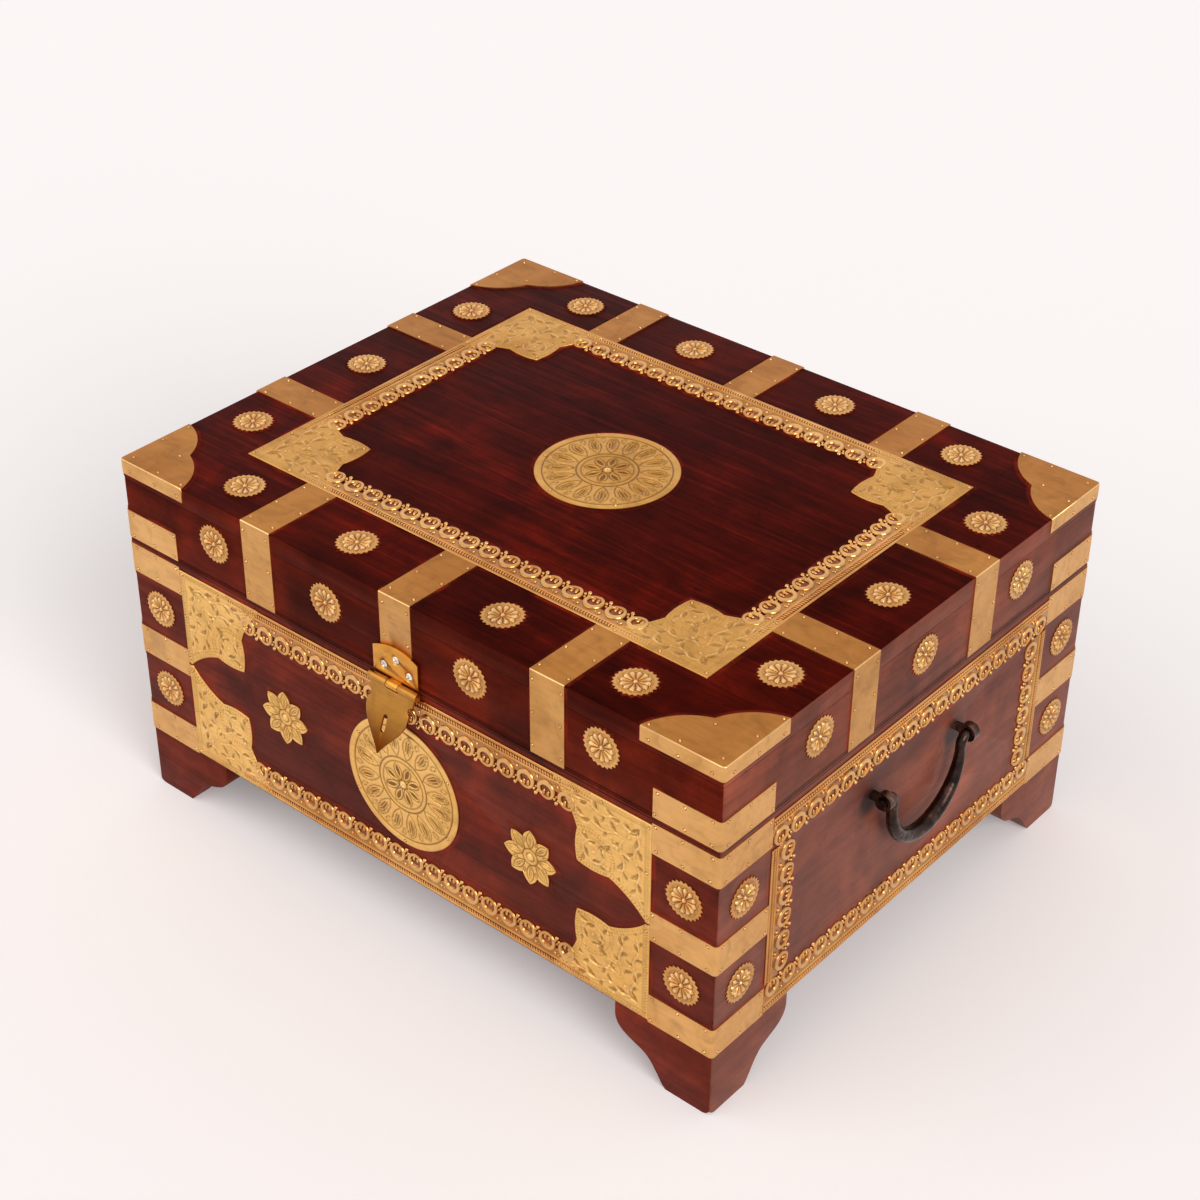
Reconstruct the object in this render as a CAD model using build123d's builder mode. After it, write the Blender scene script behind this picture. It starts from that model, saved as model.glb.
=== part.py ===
from build123d import *
import os
from math import cos, pi, radians, sin

os.makedirs("parts", exist_ok=True)

# Keepsake box of dark stained hardwood on four bracket feet, dressed in brass.
# The origin is on the ground under the middle of everything, flap and hinges included.
# +X runs along the long front, the hasp is on the -Y side, and +Z is up.

# Carcass and lid
box_length = 381.0
box_depth = 300.0
foot_height = 37.0
body_height = 120.0
split_gap = 1.0
lid_height = 45.0
wall = 11.0
lid_board = 11.0
corner_round = 1.5

# Bottom panel, seated in a groove that runs round inside the walls
panel_thickness = 6.0
groove_height = 5.0
groove_depth = 4.0
panel_play = 0.25

# Bracket feet, with an ogee outline
foot_thickness = 11.0
foot_width = 57.0
foot_toe_width = 26.0
foot_toe_round = 4.5
foot_bulge = 0.22
foot_rise = 3.5
foot_steepness = 1.6
foot_straight = 6.0

# Plain sheet brass: straps, corner strips and corner plates
sheet = 0.6
strap_width = 20.0
front_strap_share = 0.244
side_strap_share = 0.3233
corner_strip_height = 17.0
corner_strip_reach = 37.0
corner_strip_drop = 2.5
lid_strip_height = 16.0
plate_arm = 45.0
plate_cusp = 24.0
plate_lobe = 38.0
plate_lobe_side = 14.0
plate_fold = 7.5

# Embossed brass: borders, corner pieces, medallions, rosettes and stars
emboss = 1.4
border_width = 17.7
border_pitch = 12.5
ring_radius = 5.2
ring_sides = 8
lid_frame_inset = 44.5
body_frame_foot = 1.0
body_frame_drop = 4.0
ornament_arm = 57.0
ornament_shoulder = 43.0
ornament_neck = 24.0
ornament_bulge = 1.2
ornament_tip = 2.5
medallion_diameter = 73.0
rosette_diameter = 21.3
rosette_teeth = 18
rosette_tooth = 1.3
star_diameter = 32.0
star_waist = 10.5
star_points = 8
star_share = 0.215

# Hinges at the back
hinge_margin = 3.2
hinge_leaf = 20.0
hinge_sheet = 1.2
hinge_barrel_radius = 2.6
hinge_pin_radius = 1.25
hinge_screw_inset = 9.0
hinge_screw_height = 12.0

# Hasp at the front
hasp_width = 28.8
hasp_plate_height = 20.2
hasp_arch = 3.6
hasp_sheet = 1.2
hasp_barrel_radius = 2.3
hasp_barrel_length = 31.0
hasp_centre_knuckle = 7.0
hasp_pin_radius = 1.0
hasp_axis_drop = 2.0
hasp_hole_radius = 2.9
hasp_head_radius = 2.2
hasp_screw_offset = 8.2
hasp_low_screw = 7.6
hasp_high_screw = 13.2
flap_length = 34.6
flap_shoulder = 6.0
flap_notch = 11.8
flap_notch_place = 8.0
flap_lobe_start = 10.0
flap_lobe = 13.2
flap_lobe_place = 14.0
flap_waist = 7.6
flap_waist_place = 24.5
flap_tilt = 22.0
flap_slot_width = 2.8
flap_slot_length = 9.2
flap_slot_place = 19.2
staple_wire = 1.4
staple_opening = 4.6
staple_reach = 9.2
staple_bite = 8.0

# Bail handles on the two short sides
bail_pivot_drop = 37.0
bail_stand = 8.0
bail_half_span = 28.5
bail_straight = 4.5
bail_end_radius = 2.6
bail_grip_radius = 4.0
bail_bend = 4.0
bail_end_length = 7.0
eye_width = 4.5
eye_strip = 1.6
eye_shank = 2.4
eye_prong = 10.0

# Screws
screw_radius = 1.2
screw_head_radius = 2.4
screw_length = 9.0
screw_point = 2.5

# Clearances
knuckle_gap = 0.3
barrel_clearance = 0.3
pin_clearance = 0.05
screw_clearance = 0.02
eye_clearance = 0.4
shank_clearance = 0.15

# Heights and places that follow from the sizes above
body_top = foot_height + body_height
lid_bottom = body_top + split_gap
lid_top = lid_bottom + lid_height
rail_top = lid_top - lid_board
half_length = box_length / 2
half_depth = box_depth / 2
front_strap_pitch = front_strap_share * box_length
side_strap_pitch = side_strap_share * box_depth
star_offset = star_share * box_length
strap_edge = front_strap_pitch + strap_width / 2
strip_edge = half_length - corner_strip_reach
hinge_offset = (strap_edge + strip_edge) / 2
hinge_length = strip_edge - strap_edge - 2 * hinge_margin
hinge_screw_step = hinge_length / 2 - hinge_screw_inset
panel_low = foot_height + groove_height
frame_low = foot_height + body_frame_foot
frame_high = body_top - body_frame_drop
frame_middle = (frame_low + frame_high) / 2
lid_side_middle = (lid_bottom + lid_top) / 2
inner_length = box_length - 2 * wall
inner_depth = box_depth - 2 * wall

# The flap stands out further than the hinges, so the box sits behind the origin
tilt = radians(flap_tilt)
hasp_axis_stand = sheet + hasp_barrel_radius + barrel_clearance
hinge_axis_stand = hinge_barrel_radius + barrel_clearance
front_stand = hasp_axis_stand + flap_length * sin(tilt) + hasp_sheet / 2 * cos(tilt)
back_stand = hinge_axis_stand + hinge_barrel_radius
box_middle = (front_stand - back_stand) / 2

outward = {"front": (0, -1), "right": (1, 0), "back": (0, 1), "left": (-1, 0)}
reach = {"front": half_depth, "right": half_length, "back": half_depth, "left": half_length}
span = {"front": box_length, "right": box_depth, "back": box_length, "left": box_depth}


def level(height):
    """The level plane at one height, centred on the box."""
    return Plane(origin=(0, box_middle, height))


def face_plane(side, height=0.0, stand=0.0):
    """The upright plane of one outer face, with x along the face and y upwards."""
    x, y = outward[side]
    distance = reach[side] + stand
    origin = level(height).origin + Vector(x * distance, y * distance)
    return Plane(origin=origin, x_dir=(-y, x, 0), z_dir=(x, y, 0))


def plan_plane(side, height):
    """The level plane at one outer face, with x along the face and y inwards."""
    face = face_plane(side, height)
    return Plane(origin=face.origin, x_dir=face.x_dir, z_dir=(0, 0, 1))


def finish(part, label):
    """Name a finished piece and write it."""
    part.label = label
    export_step(part, f"parts/{label}.step")


def mitred_outline(length, thickness):
    """A board seen from above, mitred at both ends, with its outer edge on x."""
    with BuildSketch() as outline:
        with BuildLine():
            Polyline(
                (-length / 2, 0),
                (length / 2, 0),
                (length / 2 - thickness, thickness),
                (thickness - length / 2, thickness),
                close=True,
            )
        make_face()
    return outline.sketch


def mitred_board(side, low, height, thickness):
    """One wall or rail: a mitred board with its share of the rounded corners."""
    with BuildPart() as board:
        with BuildSketch(plan_plane(side, low)):
            add(mitred_outline(span[side], thickness))
        extrude(amount=height)
        with BuildSketch(level(low)):
            RectangleRounded(box_length, box_depth, corner_round)
        extrude(amount=height, mode=Mode.INTERSECT)
    return board.part


# Screws and the holes that take them
def screw(plane, head_radius=screw_head_radius):
    """A countersunk wood screw whose head lies flush in the given plane."""
    with BuildPart() as body:
        with BuildSketch(Plane.XZ):
            with BuildLine():
                Polyline(
                    (0, 0),
                    (head_radius, 0),
                    (screw_radius, screw_radius - head_radius),
                    (screw_radius, screw_point - screw_length),
                    (0, -screw_length),
                    close=True,
                )
            make_face()
        revolve(axis=Axis.Z)
    return plane.location * body.part


def screw_hole(plane, depth=screw_length):
    """The pilot hole of one screw, bored inwards from the given plane."""
    with BuildPart() as bore:
        with BuildSketch(Plane.XY.offset(-depth - screw_clearance)):
            Circle(screw_radius + screw_clearance)
        extrude(amount=depth + screw_clearance)
    return plane.location * bore.part


# Places of the hinge screws and hasp screws
hinge_sides = {"left": -hinge_offset, "right": hinge_offset}
hinge_axis_y = box_middle + half_depth + hinge_axis_stand
hinge_axis_z = (body_top + lid_bottom) / 2
back_screw_x = [x + step for x in hinge_sides.values() for step in (-hinge_screw_step, hinge_screw_step)]
hasp_axis_z = lid_bottom - hasp_axis_drop
hasp_axis_y = box_middle - half_depth - hasp_axis_stand
hasp_head_drop = hasp_hole_radius - hasp_head_radius
staple_z = hasp_axis_z - flap_slot_place
staple_rise = (staple_opening + staple_wire) / 2
staple_legs = [(0, staple_z - staple_rise), (0, staple_z + staple_rise)]
hasp_screw_places = [
    (-hasp_screw_offset, hasp_axis_z + hasp_low_screw),
    (hasp_screw_offset, hasp_axis_z + hasp_low_screw),
    (0, hasp_axis_z + hasp_high_screw),
]


def back_screw_planes(rise):
    """Planes at the hinge screws, on the leaves above or below the hinge axis."""
    face = face_plane("back", hinge_axis_z + rise, hinge_sheet)
    return [
        Plane(origin=face.origin - face.x_dir * x, x_dir=face.x_dir, z_dir=face.z_dir) for x in back_screw_x
    ]


def hasp_screw_planes(drop=0.0):
    """Planes at the hasp screws, at some depth below the outer face of the hasp plate."""
    stand = sheet + hasp_sheet - drop
    face = face_plane("front", stand=stand)
    return [
        Plane(origin=face.origin + Vector(x, 0, z), x_dir=face.x_dir, z_dir=face.z_dir)
        for x, z in hasp_screw_places
    ]


# Handle eyes pass through the short walls
bail_axis_z = body_top - bail_pivot_drop
eye_bore = eye_clearance + bail_end_radius
eye_middle = bail_half_span + bail_bend + knuckle_gap + eye_width / 2
eye_hole_radius = ((eye_width / 2) ** 2 + (eye_shank / 2) ** 2) ** 0.5 + shank_clearance

# Four walls of the body, grooved for the bottom panel
for side in outward:
    with BuildPart() as wall_board:
        add(mitred_board(side, foot_height, body_height, wall))
        with BuildSketch(level(panel_low)):
            Rectangle(inner_length + 2 * groove_depth, inner_depth + 2 * groove_depth)
        extrude(amount=panel_thickness, mode=Mode.SUBTRACT)
        if side in ("left", "right"):
            with BuildSketch(face_plane(side)):
                with Locations((-eye_middle, bail_axis_z), (eye_middle, bail_axis_z)):
                    Circle(eye_hole_radius)
            extrude(amount=-wall, mode=Mode.SUBTRACT)
        if side == "back":
            for plane in back_screw_planes(-hinge_screw_height):
                add(screw_hole(plane), mode=Mode.SUBTRACT)
        if side == "front":
            with BuildSketch(face_plane(side)):
                with Locations(*staple_legs):
                    Circle(staple_wire / 2)
            extrude(amount=-staple_bite, mode=Mode.SUBTRACT)
    finish(wall_board.part, f"{side}_board")

with BuildPart() as bottom_board:
    with BuildSketch(level(panel_low)):
        Rectangle(
            inner_length + 2 * (groove_depth - panel_play),
            inner_depth + 2 * (groove_depth - panel_play),
        )
    extrude(amount=panel_thickness)
finish(bottom_board.part, "bottom_board")


# Bracket feet: two mitred brackets at each corner
def foot_outline():
    """A bracket seen from outside, with the corner of the box on the y axis."""
    bulge_width = foot_width - foot_toe_width
    shelf_height = foot_height / 2
    with BuildSketch() as outline:
        with BuildLine():
            Line((0, foot_toe_round), (0, foot_height))
            Line((0, foot_height), (foot_width, foot_height))
            Line((foot_width, foot_height), (foot_width, foot_height - foot_straight))
            Spline(
                (foot_width, foot_height - foot_straight),
                (foot_width - bulge_width * foot_bulge, shelf_height + foot_rise / 2),
                (foot_width - bulge_width / 2, shelf_height - foot_rise / 2),
                (foot_toe_width + foot_toe_round / 2, foot_toe_round / 2),
                tangents=((0, -1), (-1, -foot_steepness)),
            )
            Line((foot_toe_width + foot_toe_round / 2, foot_toe_round / 2), (foot_toe_width, 0))
            Line((foot_toe_width, 0), (foot_toe_round, 0))
            RadiusArc((foot_toe_round, 0), (0, foot_toe_round), foot_toe_round)
        make_face()
    return outline.sketch


def bracket_foot(side, end):
    """One bracket, standing flush under the wall of one side at one of its ends."""
    face = face_plane(side)
    corner = face.origin + face.x_dir * (end * span[side] / 2)
    with BuildPart() as bracket:
        with BuildSketch(Plane(origin=corner, x_dir=face.x_dir * -end, z_dir=face.z_dir * -end)):
            add(foot_outline())
        extrude(amount=foot_thickness * end)
        with BuildSketch(plan_plane(side, 0)):
            add(mitred_outline(span[side], foot_thickness))
        extrude(amount=foot_height, mode=Mode.INTERSECT)
        with BuildSketch(level(0)):
            RectangleRounded(box_length, box_depth, corner_round)
        extrude(amount=foot_height, mode=Mode.INTERSECT)
    return bracket.part


foot_names = {
    ("front", -1): "front_left_foot_front",
    ("front", 1): "front_right_foot_front",
    ("right", -1): "front_right_foot_side",
    ("right", 1): "back_right_foot_side",
    ("back", -1): "back_right_foot_back",
    ("back", 1): "back_left_foot_back",
    ("left", -1): "back_left_foot_side",
    ("left", 1): "front_left_foot_side",
}
for (side, end), label in foot_names.items():
    finish(bracket_foot(side, end), label)

# Lid: a top board on four mitred rails
with BuildPart() as lid_top_board:
    with BuildSketch(level(rail_top)):
        RectangleRounded(box_length, box_depth, corner_round)
    extrude(amount=lid_board)
finish(lid_top_board.part, "lid_top_board")

for side in outward:
    with BuildPart() as rail:
        add(mitred_board(side, lid_bottom, lid_height - lid_board, wall))
        if side == "front":
            for plane in hasp_screw_planes(hasp_head_drop):
                add(screw_hole(plane), mode=Mode.SUBTRACT)
        if side == "back":
            for plane in back_screw_planes(hinge_screw_height):
                add(screw_hole(plane), mode=Mode.SUBTRACT)
    finish(rail.part, f"lid_{side}_rail")


# Straps folded over the edge of the lid
def section_plane(side, along):
    """The upright plane across one face, with x outwards and y upwards."""
    x, y = outward[side]
    origin = level(0).origin + Vector(-y * along, x * along)
    return Plane(origin=origin, x_dir=(x, y, 0), z_dir=(y, -x, 0))


def strap_outline(side):
    """A strap seen from its edge: flat on the lid, folded, and down its side."""
    inner = reach[side] - lid_frame_inset
    outer = reach[side] + sheet
    with BuildSketch() as outline:
        with BuildLine():
            Polyline(
                (inner, lid_top),
                (reach[side], lid_top),
                (reach[side], lid_bottom),
                (outer, lid_bottom),
                (outer, lid_top + sheet),
                (inner, lid_top + sheet),
                close=True,
            )
        make_face()
        fillet(outline.vertices().sort_by_distance((outer, lid_top + sheet, 0))[0], radius=sheet)
    return outline.sketch


strap_places = {
    "front": (-front_strap_pitch, 0, front_strap_pitch),
    "right": (-side_strap_pitch / 2, side_strap_pitch / 2),
    "back": (-front_strap_pitch, 0, front_strap_pitch),
    "left": (-side_strap_pitch / 2, side_strap_pitch / 2),
}
for side, places in strap_places.items():
    with BuildPart() as straps:
        for place in places:
            with BuildSketch(section_plane(side, place)):
                add(strap_outline(side))
            extrude(amount=strap_width / 2, both=True)
        if side == "front":
            for plane in hasp_screw_planes():
                add(screw(plane, hasp_hole_radius), mode=Mode.SUBTRACT)
    finish(straps.part, f"lid_{side}_straps")


# Strips and plates wrapped round the corners
def corner_windows(half_x, half_y):
    """The four corners of a rectangle, each turned so that x and y point inwards."""
    return [
        Location((-half_x, -half_y, 0), (0, 0, 0)),
        Location((half_x, -half_y, 0), (0, 0, 90)),
        Location((half_x, half_y, 0), (0, 0, 180)),
        Location((-half_x, half_y, 0), (0, 0, 270)),
    ]


with BuildSketch() as corner_squares:
    with Locations(*corner_windows(half_length, half_depth)):
        Rectangle(2 * corner_strip_reach, 2 * corner_strip_reach)


def corner_strips(low, height):
    """Four strips of sheet brass, one folded round each corner at one level."""
    with BuildPart() as strips:
        with BuildSketch(level(low)):
            RectangleRounded(box_length + 2 * sheet, box_depth + 2 * sheet, corner_round + sheet)
            RectangleRounded(box_length, box_depth, corner_round, mode=Mode.SUBTRACT)
            add(corner_squares.sketch, mode=Mode.INTERSECT)
        extrude(amount=height)
    return strips.part


middle_strip_low = frame_middle - corner_strip_height / 2
top_strip_low = body_top - corner_strip_drop - corner_strip_height
finish(corner_strips(foot_height, corner_strip_height), "low_corner_strips")
finish(corner_strips(middle_strip_low, corner_strip_height), "middle_corner_strips")
finish(corner_strips(top_strip_low, corner_strip_height), "top_corner_strips")
finish(corner_strips(lid_bottom, lid_strip_height), "lid_corner_strips")

with BuildSketch() as corner_plate_outline:
    with BuildLine():
        Line((0, plate_arm), (-plate_arm, plate_arm))
        Line((-plate_arm, plate_arm), (-plate_arm, -plate_arm))
        Line((-plate_arm, -plate_arm), (plate_arm, -plate_arm))
        Line((plate_arm, -plate_arm), (plate_arm, 0))
        ThreePointArc((plate_arm, 0), (plate_lobe, plate_lobe_side), (plate_cusp, plate_cusp))
        ThreePointArc((plate_cusp, plate_cusp), (plate_lobe_side, plate_lobe), (0, plate_arm))
    make_face()
plate_low = lid_top - plate_fold
with BuildPart() as lid_corner_plates:
    with BuildSketch(level(plate_low)):
        RectangleRounded(box_length + 2 * sheet, box_depth + 2 * sheet, corner_round + sheet)
    extrude(amount=plate_fold + sheet)
    fillet(faces().sort_by(Axis.Z)[-1].edges(), radius=sheet)
    with BuildSketch(level(plate_low)):
        RectangleRounded(box_length, box_depth, corner_round)
    extrude(amount=plate_fold, mode=Mode.SUBTRACT)
    with BuildSketch(level(plate_low)):
        for window in corner_windows(half_length, half_depth):
            add(window * corner_plate_outline.sketch)
    extrude(amount=plate_fold + sheet, mode=Mode.INTERSECT)
finish(lid_corner_plates.part, "lid_corner_plates")


# Embossed corner pieces and borders
def ornament_outline():
    """An embossed corner piece: a lobed square with a tapering arm each way."""
    waist = (ornament_arm + ornament_shoulder) / 2
    rise = (ornament_neck + ornament_tip) / 2
    side = ornament_shoulder + ornament_bulge
    middle = (ornament_neck + ornament_shoulder) / 2
    with BuildSketch() as outline:
        with BuildLine():
            Line((0, 0), (ornament_arm, 0))
            Line((ornament_arm, 0), (ornament_arm, ornament_tip))
            ThreePointArc(
                (ornament_arm, ornament_tip),
                (waist - ornament_bulge, rise - ornament_bulge),
                (ornament_shoulder, ornament_neck),
            )
            ThreePointArc(
                (ornament_shoulder, ornament_neck),
                (side, middle),
                (ornament_shoulder, ornament_shoulder),
            )
            ThreePointArc(
                (ornament_shoulder, ornament_shoulder),
                (middle, side),
                (ornament_neck, ornament_shoulder),
            )
            ThreePointArc(
                (ornament_neck, ornament_shoulder),
                (rise - ornament_bulge, waist - ornament_bulge),
                (ornament_tip, ornament_arm),
            )
            Line((ornament_tip, ornament_arm), (0, ornament_arm))
            Line((0, ornament_arm), (0, 0))
        make_face()
    return outline.sketch


def ornament_set(half_x, half_y):
    """Four corner pieces in the corners of a frame."""
    with BuildSketch() as pieces:
        for window in corner_windows(half_x, half_y):
            add(window * ornament_outline())
    return pieces.sketch


ring_row = border_width - ring_radius * cos(pi / ring_sides)


def border_outline(length, covered):
    """A border strip on the x axis, with ring lobes along its inner edge."""
    bare = length - 2 * covered
    count = round(bare / border_pitch)
    with BuildSketch() as outline:
        with Locations((0, ring_row / 2)):
            Rectangle(length, ring_row)
        with Locations((0, ring_row)):
            with GridLocations(bare / count, 0, count, 1):
                RegularPolygon(ring_radius, ring_sides, rotation=180 / ring_sides)
    return outline.sketch


def border_pair(length, half_y, covered=0.0):
    """The two facing strips of a frame, each with a covered length at its ends."""
    with BuildSketch() as strips:
        add(Location((0, -half_y, 0)) * border_outline(length, covered))
        add(Location((0, half_y, 0), (0, 0, 180)) * border_outline(length, covered))
    return strips.sketch


def embossed(plane, outline, neighbours=None):
    """A piece of embossed brass seated on a face and cut to fit its neighbours."""
    with BuildPart() as piece:
        with BuildSketch(plane):
            add(outline)
            if neighbours:
                add(neighbours, mode=Mode.SUBTRACT)
        extrude(amount=emboss)
    return piece.part


lid_plane = level(lid_top)
frame_x = half_length - lid_frame_inset
frame_y = half_depth - lid_frame_inset
lid_pieces = ornament_set(frame_x, frame_y)
turn = Location((0, 0, 0), (0, 0, 90))
long_borders = border_pair(2 * frame_x, frame_y, ornament_shoulder)
short_borders = turn * border_pair(2 * frame_y, frame_x, ornament_shoulder)
finish(embossed(lid_plane, lid_pieces), "lid_embossed_corners")
finish(embossed(lid_plane, long_borders, lid_pieces), "lid_long_borders")
finish(embossed(lid_plane, short_borders, lid_pieces), "lid_short_borders")

# The frame on the front stands between the corner strips
panel_half = strip_edge
panel_rise = (frame_high - frame_low) / 2
front_panel = face_plane("front", frame_middle)
front_pieces = ornament_set(panel_half, panel_rise)
finish(embossed(front_panel, front_pieces), "front_embossed_corners")
with BuildPart() as front_borders:
    add(embossed(front_panel, border_pair(2 * panel_half, panel_rise, ornament_shoulder), front_pieces))
    with BuildSketch(face_plane("front")):
        with Locations(*staple_legs):
            Circle(staple_wire / 2)
    extrude(amount=emboss, mode=Mode.SUBTRACT)
finish(front_borders.part, "front_borders")

# The frames on the sides run all the way round
side_half = half_depth - corner_strip_reach
for side in ("left", "right"):
    panel = face_plane(side, frame_middle)
    uprights = turn * border_pair(2 * (panel_rise - border_width), side_half)
    with BuildPart() as side_borders:
        add(embossed(panel, border_pair(2 * side_half, panel_rise)))
        add(embossed(panel, uprights))
    finish(side_borders.part, f"{side}_borders")


# Rosettes, stars and medallions
def toothed_outline(outer, inner, teeth):
    """A disc with pointed teeth round its edge."""
    radii = [outer, inner] * teeth
    step = pi / teeth
    points = [(r * cos(step * i), r * sin(step * i)) for i, r in enumerate(radii)]
    with BuildSketch() as outline:
        with BuildLine():
            Polyline(*points, close=True)
        make_face()
    return outline.sketch


def rosettes(plane, places):
    """Rosettes nailed to one face at the given places."""
    radius = rosette_diameter / 2
    outline = toothed_outline(radius, radius - rosette_tooth, rosette_teeth)
    with BuildPart() as group:
        with BuildSketch(plane):
            for place in places:
                add(Location((place[0], place[1], 0)) * outline)
        extrude(amount=emboss)
    return group.part


side_strap_edge = (side_strap_pitch + strap_width) / 2
near_x = front_strap_pitch / 2
far_x = (strap_edge + half_length - plate_arm) / 2
far_y = (side_strap_edge + half_depth - plate_arm) / 2
row_x = half_length - lid_frame_inset / 2
row_y = half_depth - lid_frame_inset / 2
long_row = (-far_x, -near_x, near_x, far_x)
short_row = (-far_y, 0, far_y)
lid_places = [(x, y) for x in long_row for y in (-row_y, row_y)]
lid_places += [(x, y) for x in (-row_x, row_x) for y in short_row]
finish(rosettes(lid_plane, lid_places), "lid_top_rosettes")

with BuildPart() as lid_side_rosettes:
    for side, row in (("front", long_row), ("left", short_row), ("right", short_row)):
        add(rosettes(face_plane(side), [(x, lid_side_middle) for x in row]))
finish(lid_side_rosettes.part, "lid_side_rosettes")

low_square = (foot_height + corner_strip_height + middle_strip_low) / 2
high_square = (middle_strip_low + corner_strip_height + top_strip_low) / 2
for side in ("front", "left", "right"):
    out = span[side] / 2 - corner_strip_reach / 2
    body_places = [(x, z) for x in (-out, out) for z in (low_square, high_square)]
    finish(rosettes(face_plane(side), body_places), f"{side}_body_rosettes")

with BuildSketch() as medallion_outline:
    Circle(medallion_diameter / 2)
finish(embossed(lid_plane, medallion_outline.sketch), "lid_medallion")
finish(embossed(front_panel, medallion_outline.sketch), "front_medallion")

star = toothed_outline(star_diameter / 2, star_waist, star_points)
star_pair = [Location((x, 0, 0)) * star for x in (-star_offset, star_offset)]
finish(embossed(front_panel, star_pair), "front_stars")


# Hinges: two rolled leaves and a pin at each end of the back
def barrel_segment(plane, radius, bore, low, high):
    """A knuckle: a length of tube along the normal of a section plane."""
    with BuildPart() as segment:
        with BuildSketch(plane.offset(low)):
            Circle(radius)
            Circle(bore, mode=Mode.SUBTRACT)
        extrude(amount=high - low)
    return segment.part


def hinge_leaf_part(centre, rise, spans, bore):
    """One leaf: a flat sheet on the back with its knuckles on the hinge axis."""
    axis_plane = Plane(origin=(centre, hinge_axis_y, hinge_axis_z), x_dir=(0, 1, 0), z_dir=(1, 0, 0))
    back = face_plane("back")
    keep_off = hinge_barrel_radius + knuckle_gap
    with BuildPart() as leaf:
        with BuildSketch(back):
            with Locations((-centre, hinge_axis_z + rise * hinge_leaf / 2)):
                Rectangle(hinge_length, hinge_leaf)
            with Locations((-centre, hinge_axis_z)):
                Rectangle(hinge_length, 2 * keep_off, mode=Mode.SUBTRACT)
            for low, high in spans:
                with Locations((-centre - (low + high) / 2, hinge_axis_z + rise * keep_off / 2)):
                    Rectangle(high - low, keep_off)
        extrude(amount=hinge_sheet)
        with BuildSketch(axis_plane):
            Circle(bore)
        extrude(amount=hinge_length / 2, both=True, mode=Mode.SUBTRACT)
        for low, high in spans:
            add(barrel_segment(axis_plane, hinge_barrel_radius, bore, low, high))
        for plane in back_screw_planes(rise * hinge_screw_height):
            add(screw(plane), mode=Mode.SUBTRACT)
    return leaf.part


knuckle = hinge_length / 3
outer_spans = [(-hinge_length / 2, -knuckle / 2), (knuckle / 2, hinge_length / 2)]
inner_spans = [(knuckle_gap - knuckle / 2, knuckle / 2 - knuckle_gap)]
for name, centre in hinge_sides.items():
    fixed = hinge_leaf_part(centre, -1, outer_spans, hinge_pin_radius)
    moving = hinge_leaf_part(centre, 1, inner_spans, hinge_pin_radius + pin_clearance)
    finish(fixed, f"{name}_hinge_body_leaf")
    finish(moving, f"{name}_hinge_lid_leaf")
    with BuildPart() as hinge_pin:
        with BuildSketch(Plane(origin=(centre, hinge_axis_y, hinge_axis_z), z_dir=(1, 0, 0))):
            Circle(hinge_pin_radius)
        extrude(amount=hinge_length / 2, both=True)
    finish(hinge_pin.part, f"{name}_hinge_pin")

for label, rise in (("hinge_body_screws", -1), ("hinge_lid_screws", 1)):
    with BuildPart() as screws:
        for plane in back_screw_planes(rise * hinge_screw_height):
            add(screw(plane))
    finish(screws.part, label)


# Hasp: an arched plate on the lid, a hinged flap, and a staple on the body
hasp_axis = Plane(origin=(0, hasp_axis_y, hasp_axis_z), x_dir=(0, 1, 0), z_dir=(1, 0, 0))
hasp_face = face_plane("front", hasp_axis_z, sheet)
hasp_keep_off = hasp_barrel_radius + knuckle_gap
shoulder_height = hasp_plate_height - hasp_arch
half_plate = hasp_width / 2
half_knuckle = hasp_centre_knuckle / 2
with BuildPart() as hasp_plate:
    with BuildSketch(hasp_face):
        with BuildLine():
            Line((-half_plate, 0), (half_plate, 0))
            Line((half_plate, 0), (half_plate, shoulder_height))
            ThreePointArc(
                (half_plate, shoulder_height), (0, hasp_plate_height), (-half_plate, shoulder_height)
            )
            Line((-half_plate, shoulder_height), (-half_plate, 0))
        make_face()
        for side in (-1, 1):
            with Locations((side * (half_knuckle + half_plate / 2), 0)):
                Rectangle(half_plate, 2 * hasp_keep_off, mode=Mode.SUBTRACT)
    extrude(amount=hasp_sheet)
    for plane in hasp_screw_planes():
        add(screw(plane, hasp_hole_radius), mode=Mode.SUBTRACT)
    with BuildSketch(hasp_axis):
        Circle(hasp_pin_radius)
    extrude(amount=hasp_barrel_length / 2, both=True, mode=Mode.SUBTRACT)
    add(barrel_segment(hasp_axis, hasp_barrel_radius, hasp_pin_radius, -half_knuckle, half_knuckle))
finish(hasp_plate.part, "hasp_plate")

with BuildPart() as hasp_pin:
    with BuildSketch(hasp_axis):
        Circle(hasp_pin_radius)
    extrude(amount=hasp_barrel_length / 2, both=True)
finish(hasp_pin.part, "hasp_pin")

with BuildPart() as hasp_screws:
    for plane in hasp_screw_planes(hasp_head_drop):
        add(screw(plane, hasp_head_radius))
finish(hasp_screws.part, "hasp_screws")

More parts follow.
